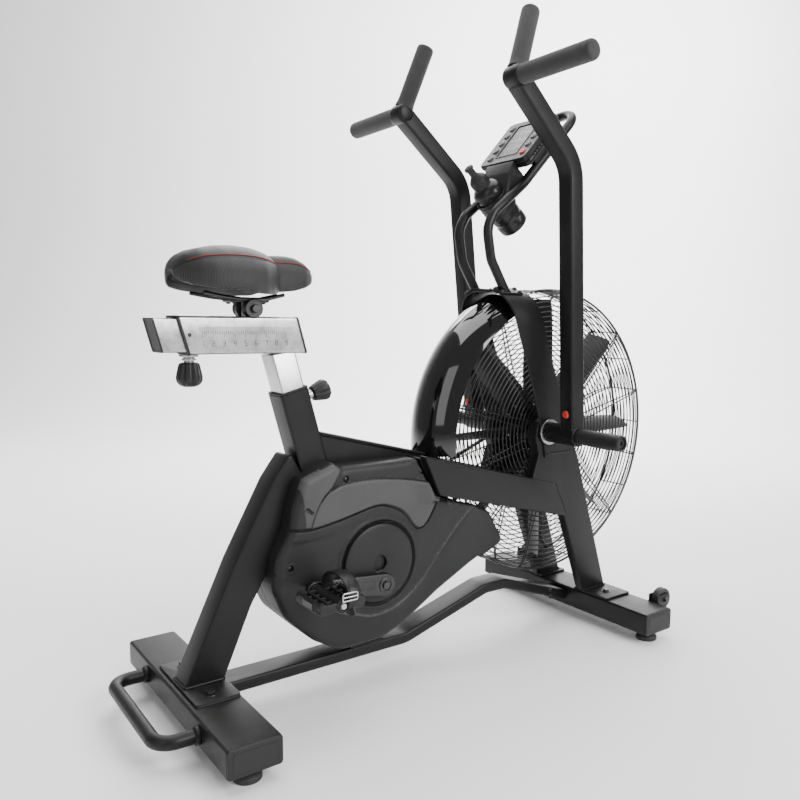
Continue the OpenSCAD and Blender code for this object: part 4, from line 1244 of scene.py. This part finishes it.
def toe_strap(side, word, c):
    """The strap over a pedal, its lower run, the wire buckle and the strap's studs."""
    s = Shape()
    over = [(-48, -2)] + [(-50 * math.cos(rad(a)), 13 + 33 * math.sin(rad(a)))
                          for a in range(0, 181, 9)] + [(48, -2)]
    sweep(s, [c + Vector((21.5, y, z)) for y, z in over], rounded(rect(-1.6, 1.6, -13, 13), 1.2, 2))
    under = [(-47.5, -8), (-40, -13), (40, -13), (47.5, -8)]
    sweep(s, [c + Vector((21.5, y, z)) for y, z in under], rounded(rect(-1.4, 1.4, -12, 12), 1.2, 2))
    buckle = [c + Vector((12 + x, side * 50.5, 16 + z)) for x, z in ((-15, -7), (15, -7), (15, 7), (-15, 7))]
    tube(s, fillet(buckle + buckle[:1], 3, 4), 1.5, 10, m=1)
    tube(s, [buckle[0].lerp(buckle[3], 0.5), buckle[1].lerp(buckle[2], 0.5)], 1.2, 8, m=1)
    for k in range(6):
        stud = c + Vector((12, side * (49 - k * 1.5), 24 + k * 4))
        lathe(s, [(0, 1.9), (1.6, 1.9), (1.6, 1.6)], stud, (0, side, 0), 10, m=2)
    s.piece("toe_strap_" + word, [STRAP, MACHINED, DARK_AND_SHADE], f"pedal_{word[0]}", "strap_" + word,
            "strap_plastic")


for side, word in SIDES:
    crank_end = CRANK + Vector((math.cos(turn), 0, -math.sin(turn))) * side * CRANK_LENGTH
    crank_arm(side, word, crank_end)
    pedal_middle = crank_end + Y * side * PEDAL_Y
    pedal(side, word, pedal_middle)
    toe_strap(side, word, pedal_middle)

# the crank axle with its sprocket and pedal pins, then the chain to the fan
s = Shape()
lathe(s, [(0, -97), (11, -97), (12, -96), (12, 44), (20, 44), (20, 60.4), (12, 60.4), (12, 96), (11, 97),
          (0, 97)],
      CRANK, (0, 1, 0), 40)


def sprocket(s, cx, cz, count, r, y, thick, bore):
    """A toothed ring of count teeth."""
    outline = []
    for i in range(count):
        a = 2 * math.pi * i / count
        for da, rr in ((-0.42, -3.6), (-0.2, -1.2), (-0.07, 1.4), (0.07, 1.4), (0.2, -1.2), (0.42, -3.6)):
            b = a + da * 2 * math.pi / count
            outline.append(((r + rr) * math.cos(b), (r + rr) * math.sin(b)))
    hole = [(bore * math.cos(math.atan2(q, p)), bore * math.sin(math.atan2(q, p))) for p, q in outline]
    ring_prism(s, *([(cx + p, cz + q) for p, q in loop] for loop in (outline, hole)), y, y + thick, lip=0.4)


sprocket(s, CRANK.x, CRANK.z, 40, 78.4, 61, 3, 60)
for k in range(5):
    a = rad(72 * k + 36)
    u, w = Vector((math.cos(a), 0, math.sin(a))), Vector((-math.sin(a), 0, math.cos(a)))
    prism(s, rounded([(14, -14), (62, -7), (62, 7), (14, 14)], 4), 61, 3, bevel=0.6,
          place=local(CRANK, u, w, (0, 1, 0)))
for side in (-1, 1):
    px, pz = CRANK.x + side * CRANK_LENGTH * math.cos(turn), CRANK.z - side * CRANK_LENGTH * math.sin(turn)
    lathe(s, [(0, 84), (6, 84), (7, 85), (7, 98.5), (9, 98.6), (9, 102), (7, 102.2), (7, 203), (5, 205),
              (0, 205)], (px, 0, pz), (0, side, 0), 28)
s.piece("crank_spindle", MACHINED, "cranks", "crank_axle", "machined_steel")
# the chain, as links laid round both sprockets
s = Shape()
gap, r1, r2 = math.hypot(FAN.x - CRANK.x, FAN.z - CRANK.z), 80.0, 22.0
slope = math.atan2(FAN.z - CRANK.z, FAN.x - CRANK.x)
phi = math.acos((r1 - r2) / gap)
belt = [(CRANK.x + r1 * math.cos(slope + a), CRANK.z + r1 * math.sin(slope + a))
        for a in [phi + (2 * math.pi - 2 * phi) * i / 60 for i in range(61)]]
belt += [(FAN.x + r2 * math.cos(slope + a), FAN.z + r2 * math.sin(slope + a))
         for a in [-phi + 2 * phi * i / 24 for i in range(25)]]
links = resample(belt, 12.7, True)
for i, a in enumerate(links):
    b = links[(i + 1) % len(links)]
    if math.dist(a, b) > 16 or math.dist(a, b) < 6:
        continue
    d = (Vector(b) - Vector(a)).normalized()
    place = local((a[0], 0, a[1]), (d.x, 0, d.y), (-d.y, 0, d.x), (0, 1, 0))
    shape = arc(0, 0, 4.1, 90, 270, 5) + arc(math.dist(a, b), 0, 4.1, -90, 90, 5)
    for y in ((60.0, 64.2) if i % 2 else (60.9, 63.3)):
        prism(s, shape, y, 0.8, bevel=0.15, place=place, steps=1)
    lathe(s, [(0, 60.1), (3.4, 60.2), (3.4, 64.8), (0, 64.9)], (a[0], 0, a[1]), (0, 1, 0), 12)
s.piece("roller_chain", CHAIN, "frame", "drive_chain", "chain_steel")

# ---------------------------------------------------------------- fan, cage and shroud
FAN_BLADES = 8


def fan_blade(s, angle, rows=15):
    """A twisted, cambered blade with its two rivets, along a direction from the fan's axis."""
    d = Vector((math.cos(angle), 0, -math.sin(angle)))
    n = Vector((math.sin(angle), 0, math.cos(angle)))
    verts, faces = [], []
    for i in range(rows):
        t = i / (rows - 1)
        twist = rad(30 - 10 * t)
        wide = 33 + 4 * math.sin(t * math.pi)
        for q in (-1, -0.5, 0, 0.5, 1):
            y = wide * q * math.cos(twist) * (1 - 0.12 * (t > 0.93))
            camber = wide * q * math.sin(twist) + 5 * (1 - q * q)
            verts += [tuple(FAN + d * (40 + t * 276) + Y * y + n * (camber + skin)) for skin in (-1.2, 1.2)]
    w = 10
    for i in range(rows - 1):
        for j in range(4):
            p0, p1 = i * w + j * 2, i * w + (j + 1) * 2
            faces.append((p0, p1, p1 + w, p0 + w))
            faces.append((p0 + 1, p0 + 1 + w, p1 + 1 + w, p1 + 1))
        faces.append((i * w, (i + 1) * w, (i + 1) * w + 1, i * w + 1))
        faces.append((i * w + 8, i * w + 9, (i + 1) * w + 9, (i + 1) * w + 8))
    faces.append(tuple((rows - 1) * w + x for x in (0, 2, 4, 6, 8, 9, 7, 5, 3, 1)))
    s.add(verts, faces)
    for r in (62, 92):
        lathe(s, [(0, 3.5), (3.4, 3.2), (4, 1.6), (4, 0)], FAN + d * r + n * 6, n, 14, m=1)


s = Shape()
prof = [(8.1, -38), (20, -38), (24, -34), (44, -33), (46, -31), (46, 31), (44, 33), (24, 34), (20, 38),
        (14, 40), (14, 60), (8.1, 60)]
lathe(s, prof, FAN, Y, 56)
for k in range(FAN_BLADES):
    fan_blade(s, 2 * math.pi * k / FAN_BLADES)
lathe(s, [(8.2, 60), (20, 60), (20, 64), (8.2, 64)], FAN, Y, 44, m=1)
s.piece("fan_wheel", [BLADE, MACHINED], "fan_rotor", "fan", "fan_paint")


def wire_y(r):
    """How far out the face wires stand at radius r: flat, then curving in to the rim."""
    return 56.4 if r < 300 else 56.4 - 13 * ((r - 300) / 38) ** 2.2


def hoop_wire(s, r, y):
    """A ring of wire round the fan's axis."""
    tube(s, [Vector((FAN.x + p, y, FAN.z + q)) for p, q in circle(r, 144)], 1.5, 6, closed=True)


for side, word in SIDES:
    s = Shape()
    r = 56.0
    while r < 337:
        hoop_wire(s, r, side * wire_y(r))
        r += 11.6
    for k in range(12):
        a = 2 * math.pi * (k + 0.5) / 12
        for off in (-1, 1):
            line = []
            for i in range(19):
                q = 44 + 292 * i / 18
                spread = 9.0 * (1 - i / 18) * off + 1.6 * off
                y = side * (wire_y(q) - 3.0)
                line.append((FAN.x + q * math.cos(a) - spread * math.sin(a), y,
                             FAN.z + q * math.sin(a) + spread * math.cos(a)))
            tube(s, line, 1.6, 6)
    prof = [(9.2, 54.6), (30, 54.6), (34, 56.4), (47, 56.4), (49, 55.4), (49, 53.6), (47, 52.6), (34, 52.6),
            (30, 50.8), (9.2, 50.8)]
    lathe(s, prof, FAN, (0, side, 0), 64, closed=True)
    for k in range(4):
        a = math.pi * (0.25 + k * 0.5)
        bolt(s, (FAN.x + 40 * math.cos(a), side * 56.2, FAN.z + 40 * math.sin(a)), (0, side, 0), 3.6, 2, m=1)
    lathe(s, [(14, 56), (14, 60), (12, 61), (8.2, 61)], FAN, (0, side, 0), 6, m=1)
    s.piece("guard_wires_" + word, [WIRE, BOLT], "frame", "cage_" + word, "wire_paint")
# the rim that joins the two cage faces
s = Shape()
prof = [(338, -45), (340, -43.6), (340, -40), (338.6, -38), (337, -38), (337, -45)]
for flip in (-1, 1):
    lathe(s, [(r, y * flip) for r, y in prof], FAN, (0, 1, 0), 128, closed=True)
for y in (-29, -17.5, -6, 6, 17.5, 29):
    hoop_wire(s, 337.5, y)
for k in range(24):
    a = 2 * math.pi * k / 24
    tube(s, [(FAN.x + 335.4 * math.cos(a), y, FAN.z + 335.4 * math.sin(a)) for y in (-42, 42)], 1.6, 6)
s.piece("guard_rim", WIRE, "frame", "cage_rim", "wire_paint")

# the gloss shroud round the cage's rear top
s = Shape()
steps, arcs = 44, 26
verts, faces = [], []
for i in range(steps + 1):
    a = rad(115 + 70 * i / steps)
    d = Vector((math.cos(a), 0, math.sin(a)))
    for rr, flip in ((87.8, 1), (85, -1)):
        for j in range(arcs + 1):
            f = rad(-61.5 + 123 * j / arcs) * flip
            verts.append(tuple(FAN + d * (270 + rr * math.cos(f)) + Vector((0, 1, 0)) * rr * math.sin(f)))
k = 2 * (arcs + 1)
for i in range(steps):
    for j in range(k):
        j2 = (j + 1) % k
        faces.append((i * k + j, (i + 1) * k + j, (i + 1) * k + j2, i * k + j2))
faces += [tuple(range(k)), tuple(steps * k + j for j in range(k - 1, -1, -1))]
s.add(verts, faces)
s.piece("rain_shroud", SHROUD, "frame", "shroud", "shroud_acrylic", smooth=60)

# ---------------------------------------------------------------- arms and grips
BEND = rad(45)
for side, word, lean in ((-1, "right", -2.8), (1, "left", -6.1)):
    _, fore, _, up = (Vector(v) for v in turned_frame(PIVOT, lean))
    o = PIVOT

    def at(x, y, z):
        return o + fore * x + up * z + Y * y

    y = side * 170
    tip = (-86 + 90 * math.cos(BEND) - 190 * math.sin(BEND), 549 + 280 * math.sin(BEND))
    body = f"arm_{word[0]}"
    s = Shape()
    line = [at(0, y, 8), at(0, y, 553)]
    line += [at(-90 + 90 * math.cos(rad(a)), y, 553 + 90 * math.sin(rad(a))) for a in range(4, 45, 4)]
    line += [at(-90 + 90 * math.cos(BEND), y, 553 + 90 * math.sin(BEND)), at(tip[0] + 8, y, tip[1] - 8)]
    bar(s, line, 40, 40, 5.5)
    lathe(s, [(22, 103.6), (23, 104.4), (23, 190.6), (22, 191.5), (14, 191.5), (13.4, 190), (10.2, 190)], o,
          (0, side, 0), 48)
    lathe(s, [(10.2, 104), (22, 103.6)], o, (0, side, 0), 48)
    for q in (149.6, 190.4):
        bead(s, [at(21 * math.cos(rad(a)), side * q, 21 * math.sin(rad(a))) for a in range(10, 171, 8)], 1.6)
    hub = at(tip[0], 0, tip[1])
    lathe(s, [(0, 147.4), (12, 147.8), (18, 149.6), (21.8, 153.4), (23, 159), (23, 182), (22, 188),
              (20.4, 192), (14.6, 192.4)], hub, (0, side, 0), 48)
    lathe(s, [(14, 190), (14, 366), (0, 367)], hub, (0, side, 0), 24)
    a3, b3 = at(tip[0] + 5, y - side * 1.8, tip[1] + 11), at(tip[0] + 54, y - side * 19, tip[1] + 118)
    tube(s, [a3, b3], 14, 24)
    cap = at(-20.2, y + side * 1, 50)
    lathe(s, [(9.6, 0), (9.6, 1.2), (8.8, 2)], cap, tuple(-fore), 32, m=1)
    lathe(s, [(8.8, 1.6), (7.4, 3.6), (4, 4.6), (0, 4.9)], cap, tuple(-fore), 32, m=2)
    s.piece("swing_arm_" + word, [PAINT, BOLT, RED], body, "arm_" + word, "black_paint")
    s = Shape()
    prof = [(14.2, 191.4), (19.9, 191.4), (19.6, 194), (19.5, 197), (19.5, 368), (19.1, 371.6), (17.8, 374.2),
            (15.6, 375.6), (12, 376), (0, 376.2)]
    lathe(s, prof, hub, (0, side, 0), 48)
    axis = (b3 - a3).normalized()
    base = a3 + axis * 18
    prof = [(14.2, -15), (22, -15), (20.6, -8), (19.8, -2), (19.5, 4), (19.5, 124), (19.1, 127.6),
            (17.8, 130.2), (15.6, 131.6), (12, 132), (0, 132.2)]
    lathe(s, prof, base, tuple(axis), 48)
    s.piece("foam_grip_" + word, FOAM, body, "grips_" + word, "grip_foam")

# ---------------------------------------------------------------- seat post, slide and saddle
POST_TOP = 683
s = Shape()
prism(s, rounded(rect(-24.9, 24.9, -24.9, 24.9), 4.5, 5), -190, 268, bevel=1, place=seat_axis)
axis = Vector(SEAT[3])
s.v = [v if v[2] < POST_TOP else tuple(Vector(v) - axis * ((v[2] - POST_TOP) / axis.z)) for v in s.v]
s.piece("post_tube", POST_STEEL, "post", "seat_post", "brushed_chrome")
s = Shape()
# dark discs on the post where its holes are, as painted shade inside the holes
for k in range(7):
    lathe(s, [(0, 0.5), (5.2, 0.5), (5.6, 0)], seat_axis(24.7, 0, -40 - k * 22), SEAT[1], 24)
s.piece("post_holes", HOLE_SHADE, "post", slot="brushed_chrome")


def slanted(s, outer, inner, x0, x1):
    """A rectangular tube along X with slanting ends; x0 and x1 give each end's x at a height."""
    k = len(outer)
    verts, faces = [], []
    for loop, edge in ((outer, x0), (outer, x1), (inner, x1), (inner, x0)):
        verts += [(edge(z), y, z) for y, z in loop]
    for j in range(4):
        for i in range(k):
            i2, j2 = (i + 1) % k, (j + 1) % 4
            faces.append((j * k + i, j2 * k + i, j2 * k + i2, j * k + i2))
    s.add(verts, faces)


def rear_x(z):
    """The slider's slanting rear end at a height."""
    return 37 - 19 * (z - 680.5) / 67.5


def fore_x(z):
    """The slider's slanting front end at a height."""
    return 266 - 19 * (z - 680.5) / 67.5


s = Shape()
outer = rounded(rect(-29, 29, 680.5, 748), 5, 5)
inner = rounded(rect(-26.2, 26.2, 683.3, 745.2), 2.5, 5)
slanted(s, outer, inner, lambda z: rear_x(z) + 3, lambda z: fore_x(z) - 3)
s.piece("slide_channel", CHROME, "post", "slider_housing", "brushed_chrome")
s = Shape()
wide = rounded(rect(-29.6, 29.6, 679.9, 748.6), 5.6, 5)
slanted(s, wide, inner, rear_x, lambda z: rear_x(z) + 4.5)
slanted(s, wide, inner, lambda z: fore_x(z) - 4.5, fore_x)
# a dark patch over the slot in the slider's top, as painted shade in the slot
prism(s, rounded(rect(88, 220, -11.8, 11.8), 11, 8), 747.6, 1.0, bevel=0.3, place=xy, m=1, steps=1)
s.piece("slide_trims", [TRIM, HOLE_SHADE], "post", slot="plastic_trim")
# the scale on both sides of the slider; its figures read from outside on each
MIRROR = {"b": "f", "f": "b", "c": "e", "e": "c"}
s = Shape()
for side in (-1, 1):
    def plate(a, b, h, side=side):
        return (a, side * (29.0 + h), b)
    for k in range(41):
        x = 62 + k * 4
        tall = 11 if k % 5 == 0 else 6
        prism(s, rect(x - 0.4, x + 0.4, 722 - tall, 722), 0.0, 0.12, bevel=0.03, steps=1, place=plate)
    for k in range(9):
        code = DIGITS[k + 1]
        if side > 0:
            code = "".join(MIRROR.get(q, q) for q in code)
        digit(s, code, 62 + k * 20, 696, 4.2, 8.4, 1.1, plate, 0.0, 0.12)
    prism(s, rounded(rect(56, 234, 687, 729.5), 3), 0.0, 0.05, bevel=0.01, steps=1, place=plate, m=1)
    lathe(s, [(0, 0.25), (3.4, 0.25), (3.6, 0)], (40, side * 29, 715), (0, side, 0), 20)
s.piece("slide_scale", [INK, CHROME], "post", slot="brushed_chrome")



def back_x(z):
    """The carriage's slanting rear end at a height."""
    return -7.6 - 16 * (z - 684) / 60.5


s = Shape()
co = rounded(rect(-25.2, 25.2, 684.3, 744.2), 4, 5)
ci = rounded(rect(-22.6, 22.6, 686.9, 741.6), 2, 5)
slanted(s, co, ci, lambda z: back_x(z) + 3, lambda z: 189)
s.piece("carriage_channel", CHROME, "carriage", "seat_carriage", "brushed_chrome")
s = Shape()
slanted(s, co, ci, back_x, lambda z: back_x(z) + 4)
k = len(co)
s.add([(back_x(z) + 1.2, y, z) for y, z in ci] + [(back_x(z) + 3.0, y, z) for y, z in ci],
      [tuple(range(k)), tuple(range(2 * k - 1, k - 1, -1))])
s.piece("carriage_end", TRIM, "carriage", slot="plastic_trim")
s = Shape()
lathe(s, [(0, 742), (11, 742), (11, 773), (10, 774), (0, 774)], (TILT_X, 0, 0), (0, 0, 1), 36)
half = [(0, 40), (6.4, 40), (7.4, 39), (7.4, 33), (5, 32.6)]
lathe(s, [(q, -h) for q, h in half] + half[::-1], (TILT_X, 0, TILT_Z), Y, 24, m=1)
s.piece("saddle_stem", [CHROME, BOLT], "carriage", slot="brushed_chrome")

s = Shape()
for side in (-1, 1):
    drum = [(5.2, 11.6), (15.6, 11.6), (17, 13), (17, 18.5), (15.8, 19.6), (15.8, 28), (17, 29), (17, 31),
            (15.8, 32), (5.2, 32)]
    lathe(s, drum, (TILT_X, 0, TILT_Z), (0, side, 0), 40)
    for k in range(20):
        c, q = math.cos(k * math.pi / 10), math.sin(k * math.pi / 10)
        prism(s, rect(-0.9, 0.9, 20.4, 27.4), 15.5, 1.1, bevel=0.3, steps=1,
              place=local((TILT_X, 0, TILT_Z), (-q, 0, c), (0, side, 0), (c, 0, q)))
prism(s, rounded(rect(119, 193, -24, 24), 6), 774, 7, bevel=1.6, place=xy)
for side in (-1, 1):
    rail = fillet([(64, side * 34, 789), (100, side * 30, 783), (135, side * 26, 779.5),
                   (185, side * 22, 779.5), (225, side * 14, 789)], 30, 6)
    tube(s, rail, 3.6, 14, m=1)
    for x in (128, 184):
        bolt(s, (x, side * 14, 774.4), (0, 0, -1), 4, 2.6, m=1)
s.piece("saddle_clamp_set", [CLAMP, BOLT], "seat", "saddle_clamp", "clamp_steel")


def saddle_shape(tables, x, v):
    """A point on the saddle at length x and angle v round its section (0 is the crown)."""
    top, low, half, mid, dip = (lerp_table(tables[k], x) for k in ("top", "low", "wide", "belt", "dip"))
    c, q = math.cos(v), math.sin(v)
    y = half * math.copysign(abs(q) ** 0.74, q)
    if c >= 0:
        z = mid + (top - mid) * abs(c) ** 0.92
        z -= dip * math.exp(-(y / 16.0) ** 2)
    else:
        z = mid - (mid - low) * min(1, abs(c) * 2.6) ** 0.62
        if abs(q) < 0.9:
            z += 6 * (1 - abs(q) / 0.9)
    return (x, y, z)


# Each pad's crown, underside, half width, widest height and middle groove, as (x, value) rows.
REAR = {"top": [(19, 826), (24, 842), (34, 854), (52, 864), (80, 870.5), (110, 873), (145, 871.5), (175, 865),
                (198, 852), (211, 832)],
        "low": [(19, 814), (24, 806), (34, 800), (60, 795), (109, 790), (160, 787), (190, 788), (203, 794),
                (211, 810)],
        "wide": [(19, 16), (22, 38), (30, 62), (45, 84), (65, 98), (90, 104.5), (112, 104.5), (135, 100),
                 (160, 88), (180, 72), (200, 50), (211, 26)],
        "belt": [(19, 820), (60, 816), (109, 812), (160, 812), (211, 818)],
        "dip": [(19, 0), (60, 2.5), (130, 4), (200, 1), (211, 0)]}
NOSE = {"top": [(168, 842), (180, 856), (200, 861.5), (225, 862.5), (245, 860), (264, 852.5), (277, 842),
                (284, 833), (287, 825)],
        "low": [(168, 812), (185, 797), (201, 792.5), (235, 796), (262, 803), (278, 811), (287, 820)],
        "wide": [(168, 34), (180, 44), (200, 47), (225, 45), (245, 41), (262, 35), (276, 26), (284, 15),
                 (287, 5)],
        "belt": [(168, 820), (220, 815), (260, 818), (287, 822)],
        "dip": [(168, 0), (200, 1.5), (240, 1), (287, 0)]}


def puff(obj, pressure, cap, frames=20):
    """Swells a closed pad as cloth under pressure, by cap mm at most, and leaves a plain mesh."""
    mesh = obj.data
    rest = [v.co.copy() for v in mesh.vertices]
    low = min(p.z for p in rest)
    pins = obj.vertex_groups.new(name="pan")
    pins.add([i for i, p in enumerate(rest) if p.z < low + 0.012], 1.0, "REPLACE")
    cloth = obj.modifiers.new("swell", "CLOTH")
    cloth.settings.quality = 6
    cloth.settings.mass = 0.3
    cloth.settings.tension_stiffness = 22
    cloth.settings.compression_stiffness = 22
    cloth.settings.bending_stiffness = 1.2
    cloth.settings.use_pressure = True
    cloth.settings.uniform_pressure_force = pressure
    cloth.settings.shrink_min = -0.012
    cloth.settings.effector_weights.gravity = 0
    cloth.settings.vertex_group_mass = "pan"
    cloth.point_cache.frame_start, cloth.point_cache.frame_end = 1, frames
    for f in range(1, frames + 1):
        bpy.context.scene.frame_set(f)
    done = obj.evaluated_get(bpy.context.evaluated_depsgraph_get()).to_mesh()
    moved = [v.co.copy() for v in done.vertices]
    obj.modifiers.remove(cloth)
    bpy.context.scene.frame_set(1)
    for v, a, b in zip(mesh.vertices, rest, moved):
        d = b - a
        if d.length > cap / 1000:
            d = d.normalized() * cap / 1000
        v.co = a + d
    mesh.update()
    sub = obj.modifiers.new("soften", "SUBSURF")
    sub.levels = sub.render_levels = 1


def pad_shape(tables, x0, x1, rows, seam, ring=56):
    """A closed pad lofted from x0 to x1, with its faces' materials set by their angle from the crown."""
    s = Shape()
    verts, faces, look = [], [], []
    for i in range(rows + 1):
        x = x0 + (x1 - x0) * (1 - math.cos(math.pi * i / rows)) / 2
        verts += [saddle_shape(tables, x, 2 * math.pi * j / ring) for j in range(ring)]
    for i in range(rows):
        for j in range(ring):
            j2 = (j + 1) % ring
            faces.append((i * ring + j, i * ring + ring + j, i * ring + ring + j2, i * ring + j2))
            a = min(j, ring - 1 - j) / ring * 360
            look.append(0 if a < seam else (1 if a < 128 else 2))
    s.v, s.f, s.m = verts, faces, look
    n = len(s.v)
    s.add([(x, 0, (lerp_table(tables["top"], x) + lerp_table(tables["low"], x)) / 2) for x in (x0, x1)], [])
    for j in range(ring):
        j2 = (j + 1) % ring
        s.f += [(n, j, j2), (n + 1, rows * ring + j2, rows * ring + j)]
        s.m += [1, 1]
    return s


def stitches(obj, name, tables, x0, x1, seam):
    """A seam along each side of a pad, laid on its finished surface, with a dashed thread over it."""
    surface = BVHTree.FromObject(obj, bpy.context.evaluated_depsgraph_get())
    s = Shape()
    for side in (-1, 1):
        line = []
        for i in range(2, 90):
            p = Vector(saddle_shape(tables, x0 + (x1 - x0) * (0.04 + 0.9 * i / 90), side * rad(seam)))
            spot, normal, _, _ = surface.find_nearest(Vector(((p.x - MID) / 1000, p.y / 1000, p.z / 1000)))
            line.append(Vector((spot.x * 1000 + MID, spot.y * 1000, spot.z * 1000)) + normal * 0.5)
        # the seam line under the thread is near-black, as painted shade in the seam's crease
        tube(s, line, 0.5, 6, m=1)
        dots = [Vector(p) for p in resample(line, 4.6)]
        lift = Vector((0, 0, 0.5))
        for a, b in zip(dots, dots[1:]):
            dash = [a.lerp(b, 0.12), a.lerp(b, 0.35) + lift, a.lerp(b, 0.62) + lift, a.lerp(b, 0.85)]
            tube(s, dash, 0.75, 6)
    s.piece(name + "_stitch", [THREAD, DARK_AND_SHADE], "seat", slot="saddle_vinyl")


def saddle_pad(name, tables, x0, x1, rows, seam):
    """One pad of the saddle with its seams."""
    s = pad_shape(tables, x0, x1, rows, seam)
    obj = s.piece(name, [VINYL, WEAVE, PAN], "seat", "saddle", "saddle_vinyl", smooth=180)
    puff(obj, 3.2, 4.5)
    stitches(obj, name, tables, x0, x1, seam)
    return obj


rear_pad = saddle_pad("saddle_rear", REAR, 19.5, 211, 44, 52)
nose_pad = saddle_pad("saddle_nose", NOSE, 169, 286.5, 30, 50)

# ---------------------------------------------------------------- knobs


def fluted(s, profile, origin, axis, count=8, deep=3.2):
    """A knob with grip flutes; profile rows are (radius, height, flute share)."""
    o, a = Vector(origin), Vector(axis).normalized()
    ref = Vector((1, 0, 0)) if abs(a.x) < 0.9 else Vector((0, 0, 1))
    u = a.cross(ref).normalized()
    w = a.cross(u)
    n = count * 10
    k = len(profile)
    verts, faces = [], []
    for i in range(n):
        t = 2 * math.pi * i / n
        f = max(0.0, math.cos(t * count)) ** 1.5
        d = u * math.cos(t) + w * math.sin(t)
        for r, h, share in profile:
            verts.append(tuple(o + d * (r - deep * share * f) + a * h))
    for i in range(n):
        i2 = (i + 1) % n
        for j in range(k - 1):
            faces.append((i * k + j, i2 * k + j, i2 * k + j + 1, i * k + j + 1))
    s.add(verts, faces)


s = Shape()
fluted(s, [(0, 622.6, 0), (10, 623, 0), (14.6, 624.4, 0.1), (18.6, 627.4, 0.5), (21.6, 631.6, 0.9),
           (23, 637, 1), (22.8, 642, 1), (21, 651, 1), (18.8, 660, 0.9), (17.2, 664.4, 0.4), (14, 666, 0),
           (9, 666.4, 0)], (KNOB_X, 0, 0), (0, 0, 1))
s.piece("slide_knob_grip", KNOB, "slide_pin", "slider_knob", "knob_plastic")
s = Shape()
lathe(s, [(0, 665.5), (9, 665.5), (9, 679), (5, 679.4), (5, 690), (3.8, 692), (0, 692)], (KNOB_X, 0, 0),
      (0, 0, 1), 32)
s.piece("slide_knob_pin", MACHINED, "slide_pin", slot="machined_steel")
s = Shape()
lathe(s, [(9.2, 669.4), (12.6, 669.6), (13, 670.4), (13, 672.4), (12.4, 673), (10.4, 673.2), (10.4, 676),
          (16.4, 676.2), (17, 677), (17, 679.6), (16.4, 680.4), (9.2, 680.4)], (KNOB_X, 0, 0), (0, 0, 1), 36)
s.piece("slide_knob_collar", MACHINED, "post", slot="brushed_chrome")
s = Shape()
o = seat_axis(0, 0, -22)
fluted(s, [(9, 46.2, 0), (12.6, 46.6, 0), (15, 48, 0.4), (17.2, 56, 0.9), (19.8, 66, 1), (21.2, 72.6, 1),
           (20.8, 77, 0.9), (18.8, 80.4, 0.5), (15, 82.2, 0.1), (9, 82.9, 0), (0, 83, 0)], o, SEAT[1])
s.piece("post_knob_grip", KNOB, "post_pin", "post_knob", "knob_plastic")
s = Shape()
lathe(s, [(6, 25.8), (6, 37), (9, 37.4), (9, 46.8)], o, SEAT[1], 32)
s.piece("post_knob_pin", MACHINED, "post_pin", slot="machined_steel")

# ---------------------------------------------------------------- floor, light and camera
LOOK = Vector((0.60504, 0.78860, -0.10972))      # the camera's line of sight

# a sheet of paper, in metres, that runs away from the camera and then curves up
floor_mesh = bpy.data.meshes.new("floor")
sheet = [(-9, 0), (-4, 0), (0, 0), (3, 0)]
sheet += [(3 + 2.6 * math.sin(rad(a)), 2.6 - 2.6 * math.cos(rad(a))) for a in range(9, 91, 9)] + [(5.6, 9)]
away, cross = Vector((LOOK.x, LOOK.y, 0)).normalized(), Vector((LOOK.y, -LOOK.x, 0)).normalized()
paper = [tuple(away * a + cross * w + Vector((0, 0, h))) for a, h in sheet for w in (-12, 12)]
floor_mesh.from_pydata(paper, [], [(i, i + 1, i + 3, i + 2) for i in range(0, 2 * len(sheet) - 2, 2)])
floor = bpy.data.objects.new("floor", floor_mesh)
bpy.context.scene.collection.objects.link(floor)
for p in floor_mesh.polygons:
    p.use_smooth = True
n = Nodes("floor_paper")
n.set(Base_Color=n.mix(n.noise(3, 4), (0.88, 0.88, 0.88, 1), (0.92, 0.92, 0.92, 1)), Roughness=0.75)
floor_mesh.materials.append(n.mat)

world = bpy.data.worlds.new("studio")
bpy.context.scene.world = world
world.use_nodes = True
world.node_tree.nodes["Background"].inputs[0].default_value = (1, 1, 1, 1)
world.node_tree.nodes["Background"].inputs[1].default_value = 0.30


def lamp(name, place, target, size, power, colour=(1, 1, 1)):
    light = bpy.data.lights.new(name, "AREA")
    light.shape, light.size, light.size_y = "RECTANGLE", size[0], size[1]
    light.energy, light.color = power, colour
    obj = bpy.data.objects.new(name, light)
    obj.location = place
    obj.rotation_euler = (Vector(target) - Vector(place)).to_track_quat("-Z", "Y").to_euler()
    bpy.context.scene.collection.objects.link(obj)


lamp("key", (0.9, -3.3, 2.3), (0, 0, 0.55), (2.2, 2.2), 190)
lamp("fill", (-3.0, -1.2, 1.9), (0, 0, 0.6), (1.6, 2.6), 26)
lamp("rim", (1.4, 2.6, 2.8), (0, 0, 0.7), (2.4, 1.0), 60)
lamp("top", (0.3, 0.6, 3.6), (0, 0, 0), (3.4, 3.4), 170)
lamp("backdrop", (2.6, 1.2, 3.6), (3.6, 4.8, 1.6), (4.0, 2.0), 640)

cam = bpy.data.cameras.new("photo_view")
cam.sensor_width, cam.lens = 36.0, 34.88
cam.shift_x, cam.shift_y = -0.0533, 0.0099
cam.clip_start, cam.clip_end = 0.05, 60
eye = bpy.data.objects.new("photo_view", cam)
right, up = Vector((0.79407, -0.60773, 0.01084)), Vector((0.05813, 0.09369, 0.99390))
view = Matrix((right, up, -LOOK)).transposed().to_4x4()
view.translation = Vector((-1.01240, -1.36165, 0.74150))
eye.matrix_world = view
bpy.context.scene.collection.objects.link(eye)
bpy.context.scene.camera = eye
